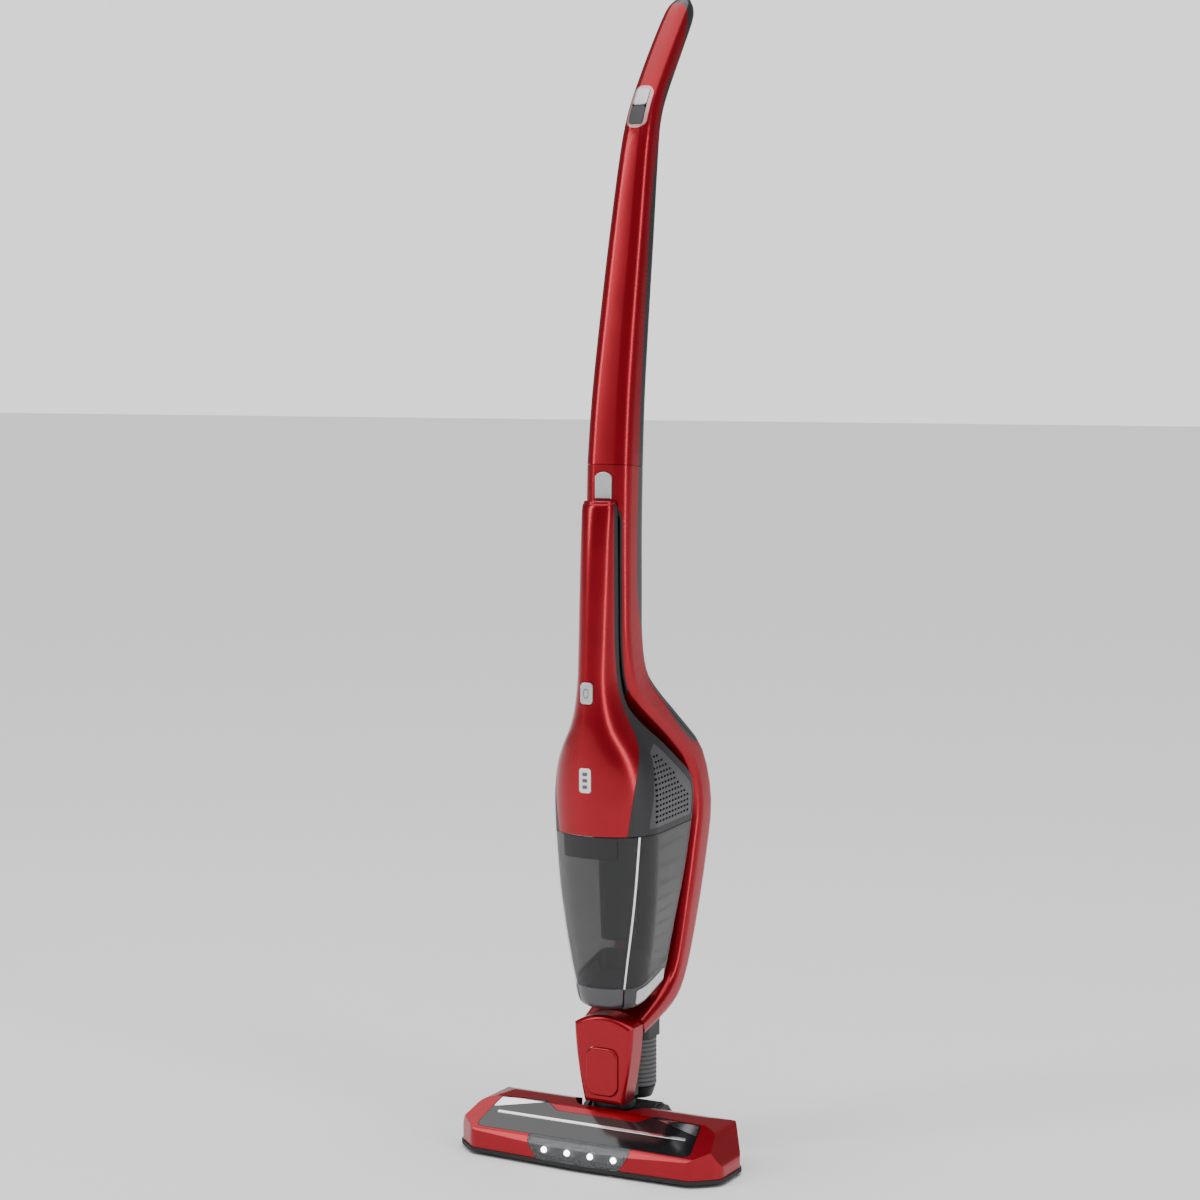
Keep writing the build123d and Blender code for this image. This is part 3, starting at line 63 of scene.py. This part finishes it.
# ---------------------------------------------------------------- shader groups
def new_group(name, inputs, outputs):
    """An empty shader group with its sockets, and its two end nodes."""
    group = bpy.data.node_groups.new(name, "ShaderNodeTree")
    for label, kind, value in inputs:
        socket = group.interface.new_socket(name=label, in_out="INPUT", socket_type=kind)
        socket.default_value = value
    for label, kind in outputs:
        group.interface.new_socket(name=label, in_out="OUTPUT", socket_type=kind)
    return group, group.nodes.new("NodeGroupInput"), group.nodes.new("NodeGroupOutput")


def grain_group():
    """Fine moulded texture: a roughness that wanders, a height, and cloudy tone."""
    inputs = [("Scale", "NodeSocketFloat", 900.0), ("Roughness", "NodeSocketFloat", 0.4),
              ("Wander", "NodeSocketFloat", 0.08)]
    outputs = [("Roughness", "NodeSocketFloat"), ("Height", "NodeSocketFloat"), ("Cloud", "NodeSocketFloat")]
    group, start, end = new_group("moulded_grain", inputs, outputs)
    place = group.nodes.new("ShaderNodeTexCoord")
    fine = group.nodes.new("ShaderNodeTexNoise")
    fine.inputs["Detail"].default_value = 3.0
    broad = group.nodes.new("ShaderNodeTexNoise")
    broad.inputs["Scale"].default_value = 26.0
    broad.inputs["Detail"].default_value = 5.0
    centred = group.nodes.new("ShaderNodeMath")
    centred.operation = "SUBTRACT"
    centred.inputs[1].default_value = 0.5
    shifted = group.nodes.new("ShaderNodeMath")
    shifted.operation = "MULTIPLY_ADD"
    link = group.links.new
    link(place.outputs["Object"], fine.inputs["Vector"])
    link(place.outputs["Object"], broad.inputs["Vector"])
    link(start.outputs["Scale"], fine.inputs["Scale"])
    link(broad.outputs["Fac"], centred.inputs[0])
    link(centred.outputs[0], shifted.inputs[0])
    link(start.outputs["Wander"], shifted.inputs[1])
    link(start.outputs["Roughness"], shifted.inputs[2])
    link(shifted.outputs[0], end.inputs["Roughness"])
    link(fine.outputs["Fac"], end.inputs["Height"])
    link(broad.outputs["Fac"], end.inputs["Cloud"])
    return group


def tone_group():
    """Base colour that leans from one tone to another with the cloud, and sparkles where flakes lie."""
    inputs = [("Light tone", "NodeSocketColor", (1, 1, 1, 1)), ("Dark tone", "NodeSocketColor", (0, 0, 0, 1)),
              ("Cloud", "NodeSocketFloat", 0.5), ("Flake", "NodeSocketFloat", 0.0)]
    group, start, end = new_group("tone_and_flake", inputs, [("Color", "NodeSocketColor")])
    place = group.nodes.new("ShaderNodeTexCoord")
    cells = group.nodes.new("ShaderNodeTexVoronoi")
    cells.inputs["Scale"].default_value = 2600.0
    strength = group.nodes.new("ShaderNodeMath")
    strength.operation = "MULTIPLY"
    tone = group.nodes.new("ShaderNodeMix")
    tone.data_type = "RGBA"
    flake = group.nodes.new("ShaderNodeMix")
    flake.data_type = "RGBA"
    flake.blend_type = "SCREEN"
    link = group.links.new
    link(place.outputs["Object"], cells.inputs["Vector"])
    link(start.outputs["Cloud"], tone.inputs["Factor"])
    link(start.outputs["Dark tone"], tone.inputs["A"])
    link(start.outputs["Light tone"], tone.inputs["B"])
    link(cells.outputs["Color"], strength.inputs[0])
    link(start.outputs["Flake"], strength.inputs[1])
    link(strength.outputs[0], flake.inputs["Factor"])
    link(tone.outputs["Result"], flake.inputs["A"])
    link(start.outputs["Light tone"], flake.inputs["B"])
    link(flake.outputs["Result"], end.inputs["Color"])
    return group


moulded_grain = grain_group()
tone_and_flake = tone_group()


# ---------------------------------------------------------------- finishes
coat_roughness = 0.06
relief_height = 0.0004
lamp_colour = (1.0, 0.97, 0.92)


def finish(name, colour, roughness, metallic=0.0, coat=0.0, grain=900.0, bump=0.04, flake=0.0, wander=0.08,
           alpha=1.0, sheen=0.0, glow=0.0, spread=0.16):
    """One material from the two groups; every constant sits on the shader's own socket."""
    material = bpy.data.materials.new(name)
    material.use_nodes = True
    tree = material.node_tree
    shader = tree.nodes["Principled BSDF"]
    shader.inputs["Metallic"].default_value = metallic
    shader.inputs["Coat Weight"].default_value = coat
    shader.inputs["Coat Roughness"].default_value = coat_roughness
    shader.inputs["Alpha"].default_value = alpha
    shader.inputs["Sheen Weight"].default_value = sheen
    if glow:
        shader.inputs["Emission Color"].default_value = lamp_colour + (1.0,)
        shader.inputs["Emission Strength"].default_value = glow
    grain_node = tree.nodes.new("ShaderNodeGroup")
    grain_node.node_tree = moulded_grain
    grain_node.inputs["Scale"].default_value = grain
    grain_node.inputs["Roughness"].default_value = roughness
    grain_node.inputs["Wander"].default_value = wander
    tone_node = tree.nodes.new("ShaderNodeGroup")
    tone_node.node_tree = tone_and_flake
    tone_node.inputs["Light tone"].default_value = tuple(min(1.0, c * (1 + spread)) for c in colour) + (1.0,)
    tone_node.inputs["Dark tone"].default_value = tuple(c * (1 - spread) for c in colour) + (1.0,)
    tone_node.inputs["Flake"].default_value = flake
    relief = tree.nodes.new("ShaderNodeBump")
    relief.inputs["Strength"].default_value = bump
    relief.inputs["Distance"].default_value = relief_height
    link = tree.links.new
    link(grain_node.outputs["Roughness"], shader.inputs["Roughness"])
    link(grain_node.outputs["Cloud"], tone_node.inputs["Cloud"])
    link(tone_node.outputs["Color"], shader.inputs["Base Color"])
    link(grain_node.outputs["Height"], relief.inputs["Height"])
    link(relief.outputs["Normal"], shader.inputs["Normal"])
    return material


def deep_red(name):
    """The metallic red of the nozzle, pedestal, handheld unit and upright."""
    return finish(name, (0.30, 0.0015, 0.010), 0.25, 0.62, 0.12, 1400, 0.02, 0.16)


finishes = {
    "red_gloss": deep_red("metallic_red_shell"),
    # A lighter copy of the deep red for the side faces: painted light, standing in for the light that the
    # flat sides catch.
    "red_side": finish("red_shell_painted_light_sides", (0.36, 0.003, 0.014), 0.27, 0.62, 0.12, 1400, 0.02, 0.18),
    "dark_plastic": finish("charcoal_plastic", (0.012, 0.012, 0.014), 0.50, grain=1500, bump=0.18),
    "grey_plastic": finish("slate_grey_plastic", (0.050, 0.050, 0.055), 0.44, grain=1300, bump=0.14),
    "silver_plastic": finish("silver_painted_plastic", (0.56, 0.56, 0.58), 0.30, 0.75, 0.3, 1600, 0.03, 0.2),
    "rose_trim": finish("rose_painted_bezel", (0.62, 0.30, 0.31), 0.30, 0.60, 0.4, 1600, 0.03, 0.25),
    "gunmetal": finish("gunmetal_band", (0.075, 0.075, 0.082), 0.30, 0.80, 0.3, 1600, 0.03, 0.2),
    "bright_trim": finish("bright_trim_plating", (0.78, 0.78, 0.80), 0.12, 1.0, 0.0, 600, 0.01, wander=0.05),
    "smoke_clear": finish("smoke_tinted_cup", (0.018, 0.018, 0.020), 0.08, coat=0.2, bump=0.0, alpha=0.52,
                          wander=0.03, spread=0.05),
    "black_gloss": finish("black_gloss_window", (0.008, 0.008, 0.009), 0.10, coat=0.1, bump=0.01,
                          wander=0.04),
    "clear_lens": finish("clear_lamp_lens", (0.20, 0.21, 0.22), 0.08, bump=0.01, alpha=0.26, wander=0.03,
                         spread=0.03),
    "rubber": finish("black_rubber", (0.014, 0.014, 0.015), 0.72, grain=1100, bump=0.2),
    "hose_grey": finish("hose_grey_plastic", (0.12, 0.12, 0.125), 0.50, grain=1200, bump=0.1),
    "steel": finish("plain_steel", (0.50, 0.50, 0.52), 0.30, 1.0, grain=700, bump=0.05),
    "white_plastic": finish("white_indicator_plastic", (0.82, 0.82, 0.83), 0.32, coat=0.3, bump=0.02,
                            spread=0.04),
    "board_green": finish("circuit_board", (0.02, 0.10, 0.04), 0.40, coat=0.3),
    "bristle": finish("nylon_bristle", (0.05, 0.05, 0.055), 0.55, sheen=0.2, grain=2500, bump=0.3),
    "felt": finish("pleated_felt", (0.42, 0.42, 0.44), 0.92, sheen=0.6, grain=2200, bump=0.6),
    "cell_wrap": finish("battery_sleeve", (0.04, 0.12, 0.34), 0.30, coat=0.2),
    "filter_mesh": finish("filter_mesh_plastic", (0.030, 0.030, 0.034), 0.42, grain=1800, bump=0.5),
}
lamp_glow = finish("lamp_glow", lamp_colour, 0.30, glow=16.0, spread=0.02)
symbol_ink = finish("printed_symbol", (0.10, 0.10, 0.11), 0.50, bump=0.02)


def coat_with(piece, material):
    """Gives a piece one material."""
    piece.data.materials.clear()
    piece.data.materials.append(material)


for node_name, node in nodes.items():
    coat_with(node, finishes[slots_of_nodes[node_name]])
# The board is seen through the lens; it is painted dark in place of its white plastic, as painted shade
# behind the lens that sets off the lamps.
coat_with(nodes["headlight_board"], finishes["dark_plastic"])


# ---------------------------------------------------------------- working by hand
def deselect_all():
    bpy.ops.object.select_all(action="DESELECT")


def work_on(piece):
    """Makes one object the only selected and active one."""
    deselect_all()
    piece.select_set(True)
    bpy.context.view_layer.objects.active = piece


def edit(piece):
    """Enters edit mode with everything selected."""
    work_on(piece)
    bpy.ops.object.mode_set(mode="EDIT")
    bpy.ops.mesh.select_all(action="SELECT")


def leave_edit():
    bpy.ops.object.mode_set(mode="OBJECT")


def settle(piece, name, body, material, angle=35):
    """Applies the transform, smooths, names, paints and seats a finished piece on its body."""
    work_on(piece)
    bpy.ops.object.transform_apply(location=True, rotation=True, scale=True)
    bpy.ops.object.shade_smooth_by_angle(angle=radians(angle))
    piece.name = name
    coat_with(piece, material)
    if body:
        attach(piece, body)
    return piece


def soften(piece, width, segments=2, angle=30):
    """Rounds a piece's edges with an applied bevel."""
    work_on(piece)
    bevel = piece.modifiers.new("soften", "BEVEL")
    bevel.width = width
    bevel.segments = segments
    bevel.limit_method = "ANGLE"
    bevel.angle_limit = radians(angle)
    bpy.ops.object.modifier_apply(modifier=bevel.name)


def join(pieces):
    """Joins several pieces into the first."""
    deselect_all()
    for piece in pieces:
        piece.select_set(True)
    bpy.context.view_layer.objects.active = pieces[0]
    bpy.ops.object.join()
    return pieces[0]


# ---------------------------------------------------------------- smooth skins for the sculpted shells
band_depth = 0.020
band_lowest = 0.40
band_samples = 14
band_colour = (0.045, 0.045, 0.050, 1.0)
curve_front = 0.1
curve_reach = 0.30
merge_distance = 0.00001
crease_angle = 28


def add_back_band(material, skins):
    """Darkens a red shell along its back: a colour mask that stands in for the rear cover's wrapped sides.

    A curve holds the back line, as depth against height. Its value 0 is curve_front ahead of the origin.
    """
    corners = [vertex.co for skin in skins for vertex in skin.data.vertices]
    top = max(corner.z for corner in corners)
    step = (top - band_lowest) / band_samples
    tree = material.node_tree
    place = tree.nodes.new("ShaderNodeTexCoord")
    axes = tree.nodes.new("ShaderNodeSeparateXYZ")
    height = tree.nodes.new("ShaderNodeMapRange")
    height.inputs["From Min"].default_value = band_lowest
    height.inputs["From Max"].default_value = top
    back_line = tree.nodes.new("ShaderNodeFloatCurve")
    curve = back_line.mapping.curves[0]
    levels = [band_lowest + step * count for count in range(band_samples + 1)]
    near = [[corner for corner in corners if abs(corner.z - level) < step * 0.6] for level in levels]
    rough = [max(corner.y for corner in window) for window in near]
    shares = []
    for count, level in enumerate(levels):
        before = max(count - 1, 0)
        after = min(count + 1, band_samples)
        slope = (rough[after] - rough[before]) / (levels[after] - levels[before])
        back = max(corner.y - slope * (corner.z - level) for corner in near[count])
        shares.append((back + curve_front) / curve_reach)
    curve.points[0].location = (0.0, shares[0])
    curve.points[1].location = (1.0, shares[-1])
    for count in range(1, band_samples):
        curve.points.new(count / band_samples, shares[count])
    back_line.mapping.update()
    behind = tree.nodes.new("ShaderNodeMath")
    behind.operation = "MULTIPLY_ADD"
    behind.inputs[1].default_value = -curve_reach
    behind.inputs[2].default_value = curve_front + band_depth
    depth = tree.nodes.new("ShaderNodeMath")
    depth.operation = "ADD"
    mask = tree.nodes.new("ShaderNodeMath")
    mask.operation = "GREATER_THAN"
    mask.inputs[1].default_value = 0.0
    above = tree.nodes.new("ShaderNodeMath")
    above.operation = "GREATER_THAN"
    above.inputs[1].default_value = band_lowest + 0.001
    both = tree.nodes.new("ShaderNodeMath")
    both.operation = "MULTIPLY"
    paint = tree.nodes.new("ShaderNodeMix")
    paint.data_type = "RGBA"
    paint.inputs["B"].default_value = band_colour
    shader = tree.nodes["Principled BSDF"]
    red = shader.inputs["Base Color"].links[0].from_socket
    link = tree.links.new
    link(place.outputs["Object"], axes.inputs["Vector"])
    link(axes.outputs["Z"], height.inputs["Value"])
    link(height.outputs["Result"], back_line.inputs["Value"])
    link(back_line.outputs["Value"], behind.inputs[0])
    link(axes.outputs["Y"], depth.inputs[0])
    link(behind.outputs[0], depth.inputs[1])
    link(depth.outputs[0], mask.inputs[0])
    link(axes.outputs["Z"], above.inputs[0])
    link(mask.outputs[0], both.inputs[0])
    link(above.outputs[0], both.inputs[1])
    link(both.outputs[0], paint.inputs["Factor"])
    link(red, paint.inputs["A"])
    link(paint.outputs["Result"], shader.inputs["Base Color"])


sculpted_shells = [
    "body_front_shell", "body_rear_cover", "handle_front_shell", "handle_rear_cover", "switch_bezel",
    "speed_button", "power_switch", "handheld_front_shell", "handheld_rear_shell", "side_grilles", "dust_cup",
    "cup_rear_housing", "cup_base", "cup_visor", "nose_band", "edge_strips",
]
for shell_name in sculpted_shells:
    source = nodes[shell_name]
    skin = source.copy()
    skin.data = source.data.copy()
    skin.parent = None
    for key in list(skin.keys()):
        del skin[key]
    bpy.context.scene.collection.objects.link(skin)
    edit(skin)
    bpy.ops.mesh.customdata_custom_splitnormals_clear()
    bpy.ops.mesh.remove_doubles(threshold=merge_distance)
    leave_edit()
    bpy.ops.object.shade_smooth_by_angle(angle=radians(crease_angle))
    skin.name = shell_name + "_skin"
    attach(skin, bodies_of_nodes[shell_name])
    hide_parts(shell_name)

upright_red = deep_red("upright_red_shell")
upright_skins = [bpy.data.objects[name + "_skin"] for name in ("handle_front_shell", "body_front_shell")]
for skin in upright_skins:
    coat_with(skin, upright_red)
cover_skins = [bpy.data.objects[name + "_skin"] for name in ("handle_rear_cover", "body_rear_cover")]
add_back_band(upright_red, upright_skins + cover_skins)

# ---------------------------------------------------------------- ribbed hose
hose_low, hose_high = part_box("ribbed_hose")
hose_y = (hose_low.y + hose_high.y) / 2
rib_proud = 0.0008
hose_radius = (hose_high.x - hose_low.x) / 2 + rib_proud
hose_wall = 0.0012
rib_count = 11
rib_depth = 0.0026
rib_pitch = (hose_high.z - hose_low.z) / rib_count
# Each step of one rib: its share of the pitch, then its swell, from 0 in the valley to 1 at the crest.
rib_steps = [(0.18, 0.0), (0.14, 0.75), (0.18, 1.0), (0.18, 1.0), (0.14, 0.75), (0.18, 0.0)]


def ribbed_hose():
    """A circle raised ring by ring, each rib swelling out and drawing in."""
    deselect_all()
    radius = hose_radius - rib_depth
    bpy.ops.mesh.primitive_circle_add(vertices=48, radius=radius, location=(0, hose_y, hose_low.z))
    hose = bpy.context.object
    bpy.ops.object.transform_apply(location=True, rotation=False, scale=False)
    edit(hose)
    height = hose_low.z
    for rib in range(rib_count):
        for rise, swell in rib_steps:
            height += rise * rib_pitch
            wanted = hose_radius - rib_depth * (1 - swell)
            bpy.ops.mesh.extrude_region_move(TRANSFORM_OT_translate={"value": (0, 0, rise * rib_pitch)})
            ratio = wanted / radius
            bpy.ops.transform.resize(value=(ratio, ratio, 1), center_override=(0, hose_y, height))
            radius = wanted
    leave_edit()
    work_on(hose)
    wall = hose.modifiers.new("wall", "SOLIDIFY")
    wall.thickness = hose_wall
    bpy.ops.object.modifier_apply(modifier=wall.name)
    return hose


hose = settle(ribbed_hose(), "ribbed_hose_skin", None, finishes["hose_grey"])
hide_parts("ribbed_hose")
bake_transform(hose)

# ---------------------------------------------------------------- bristles in spirals round the brush
bristle_low, bristle_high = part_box("brush_bristles")
core_low, core_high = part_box("brush_core")
brush_axis = Vector((0, (core_low.y + core_high.y) / 2, (core_low.z + core_high.z) / 2))
core_radius = (core_high.z - core_low.z) / 2
bristle_radius = (bristle_high.z - bristle_low.z) / 2
tuft_rows = 4
tufts_per_row = 30
spiral_turn = 0.75 * 2 * pi
tuft_root_radius = 0.0011
tuft_tip_radius = 0.0019
tuft_sunk = 0.0008
tuft_margin = 0.002


def bristle_tufts():
    """Cone tufts, one modelled and the rest copied, that stand in spirals on the roll."""
    deselect_all()
    length = bristle_radius - core_radius + tuft_sunk
    bpy.ops.mesh.primitive_cone_add(vertices=7, radius1=tuft_root_radius, radius2=tuft_tip_radius,
                                    depth=length)
    first = bpy.context.object
    edit(first)
    bpy.ops.mesh.subdivide(number_cuts=1)
    leave_edit()
    tufts = []
    reach = bristle_high.x - bristle_low.x - 2 * tuft_margin
    middle = core_radius + length / 2 - tuft_sunk
    for row in range(tuft_rows):
        for place in range(tufts_per_row):
            share = place / (tufts_per_row - 1)
            turn = 2 * pi * row / tuft_rows + spiral_turn * share
            tuft = first.copy()
            tuft.data = first.data.copy()
            bpy.context.scene.collection.objects.link(tuft)
            tuft.location = (bristle_low.x + tuft_margin + reach * share, brush_axis.y - middle * sin(turn),
                             brush_axis.z + middle * cos(turn))
            tuft.rotation_euler = (turn, 0, 0)
            tufts.append(tuft)
    bpy.data.objects.remove(first)
    return join(tufts)


tufts = settle(bristle_tufts(), "bristle_tufts", "brush_roll", finishes["bristle"])
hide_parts("brush_bristles")

# ---------------------------------------------------------------- lamps behind the lens
board_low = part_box("headlight_board")[0]
lamp_count = 4
lamp_spacing = 0.0255
lamp_height = 0.0155
lamp_radius = 0.0030
lamp_proud = 0.0002
dome_cut = 0.0004
for count in range(lamp_count):
    lamp_x = (count - (lamp_count - 1) / 2) * lamp_spacing
    deselect_all()
    bpy.ops.mesh.primitive_uv_sphere_add(segments=24, ring_count=12, radius=lamp_radius,
                                         location=(lamp_x, board_low.y + lamp_proud, lamp_height))
    lamp = bpy.context.object
    bpy.ops.object.transform_apply(location=True, rotation=False, scale=False)
    edit(lamp)
    bpy.ops.mesh.bisect(plane_co=(0, board_low.y + dome_cut, 0), plane_no=(0, 1, 0), clear_outer=True,
                        use_fill=True)
    leave_edit()
    settle(lamp, "lamp_dome_%d" % (count + 1), "floor_nozzle", lamp_glow)

# ---------------------------------------------------------------- battery segments and the power button ring
panel_low, panel_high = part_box("battery_window")
panel_middle = (panel_low + panel_high) / 2
segment_count = 3
segment_pitch = 0.0062
segment_size = (0.0052, 0.0010, 0.0034)
segment_edge = 0.0004
print_sunk = 0.0001
for count in range(segment_count):
    segment_z = panel_middle.z + (count - (segment_count - 1) / 2) * segment_pitch
    deselect_all()
    bpy.ops.mesh.primitive_cube_add(size=1.0, location=(0, panel_low.y + print_sunk, segment_z))
    segment = bpy.context.object
    segment.scale = segment_size
    bpy.ops.object.transform_apply(location=True, rotation=True, scale=True)
    soften(segment, segment_edge)
    settle(segment, "battery_segment_%d" % (count + 1), "handheld", symbol_ink)


def oval_ring(name, node_name, body, across, tall, thickness):
    """A thin oval ring that lies on the front of a button, as a plain sign."""
    low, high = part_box(node_name)
    middle = (low + high) / 2
    deselect_all()
    bpy.ops.mesh.primitive_torus_add(major_segments=40, minor_segments=8, major_radius=1.0, minor_radius=0.16,
                                     location=(0, low.y + print_sunk, middle.z), rotation=(pi / 2, 0, 0))
    ring = bpy.context.object
    ring.scale = (across / 2, tall / 2, thickness)
    return settle(ring, name, body, symbol_ink)


oval_ring("power_sign", "handheld_power_button", "handheld_switch", 0.0052, 0.0086, 0.0014)

# ---------------------------------------------------------------- screws under the nozzle
sole_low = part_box("sole_plate")[0]
screw_radius = 0.0030
screw_depth = 0.0010
screw_edge = 0.0003
head_below_sole = 0.0003
slot_below_sole = 0.0008
slot_size = (0.0034, 0.0008, 0.0008)
screw_pairs = [(0.122, -0.008), (0.062, 0.006), (0.062, -0.030)]
screw_places = [(side * x, y) for x, y in screw_pairs for side in (1, -1)]
for count, (x, y) in enumerate(screw_places):
    deselect_all()
    bpy.ops.mesh.primitive_cylinder_add(vertices=28, radius=screw_radius, depth=screw_depth,
                                        location=(x, y, sole_low.z - head_below_sole))
    screw = bpy.context.object
    bpy.ops.object.transform_apply(location=True, rotation=False, scale=False)
    soften(screw, screw_edge)
    deselect_all()
    bpy.ops.mesh.primitive_cube_add(size=1.0, location=(x, y, sole_low.z - slot_below_sole))
    slot_cutter = bpy.context.object
    slot_cutter.scale = slot_size
    work_on(screw)
    cut = screw.modifiers.new("driver_slot", "BOOLEAN")
    cut.operation = "DIFFERENCE"
    cut.object = slot_cutter
    bpy.ops.object.modifier_apply(modifier=cut.name)
    bpy.data.objects.remove(slot_cutter)
    settle(screw, "sole_screw_%d" % (count + 1), "floor_nozzle", finishes["steel"])

# ---------------------------------------------------------------- floor, light and camera
floor_size = 60.0
floor_gap = 0.0002
floor_material = finish("pale_floor", (0.93, 0.93, 0.93), 0.60, grain=40, bump=0.0, spread=0.01)
deselect_all()
bpy.ops.mesh.primitive_plane_add(size=floor_size, location=(0, 0, -floor_gap))
floor = bpy.context.object
floor.name = "pale_floor"
coat_with(floor, floor_material)

sky_on_object = 0.22
sky_seen = 1.45
world = bpy.data.worlds.new("studio")
bpy.context.scene.world = world
world.use_nodes = True
sky = world.node_tree.nodes["Background"]
sky.inputs["Color"].default_value = (1.0, 1.0, 1.0, 1.0)
seen_straight = world.node_tree.nodes.new("ShaderNodeLightPath")
sky_level = world.node_tree.nodes.new("ShaderNodeMapRange")
sky_level.inputs["To Min"].default_value = sky_on_object
sky_level.inputs["To Max"].default_value = sky_seen
world.node_tree.links.new(seen_straight.outputs["Is Camera Ray"], sky_level.inputs["Value"])
world.node_tree.links.new(sky_level.outputs["Result"], sky.inputs["Strength"])


def soft_light(name, place, target, size, power, mirrored=True):
    """A rectangular area lamp that faces a point; mirrored says whether glossy surfaces show it."""
    lamp_data = bpy.data.lights.new(name, "AREA")
    lamp_data.shape = "RECTANGLE"
    lamp_data.size = size[0]
    lamp_data.size_y = size[1]
    lamp_data.energy = power
    lamp = bpy.data.objects.new(name, lamp_data)
    bpy.context.scene.collection.objects.link(lamp)
    lamp.location = place
    lamp.visible_glossy = mirrored
    lamp.rotation_euler = (Vector(target) - Vector(place)).to_track_quat("-Z", "Y").to_euler()


soft_light("key", (-1.7, -1.9, 1.7), (0, 0, 0.6), (0.5, 2.0), 26)
soft_light("rim", (2.3, -0.6, 1.2), (0, 0, 0.5), (0.4, 2.2), 20)
soft_light("top", (0.2, -0.2, 3.0), (0, 0, 0.2), (2.0, 2.0), 10, False)

noon_data = bpy.data.lights.new("noon", "SUN")
noon_data.energy = 2.9
noon_data.angle = radians(80)
noon = bpy.data.objects.new("noon", noon_data)
bpy.context.scene.collection.objects.link(noon)

view_azimuth = radians(28.0)
view_distance = 2.566
view_height = 0.780
view_pitch = radians(-5.120)
view_turn = radians(0.260)
camera_data = bpy.data.cameras.new("three_quarter_front")
camera_data.sensor_width = 36.0
camera_data.lens = 79.35
camera = bpy.data.objects.new("three_quarter_front", camera_data)
bpy.context.scene.collection.objects.link(camera)
camera.location = (view_distance * sin(view_azimuth), -view_distance * cos(view_azimuth), view_height)
camera.rotation_euler = (pi / 2 + view_pitch, 0, view_azimuth + view_turn)
bpy.context.scene.camera = camera
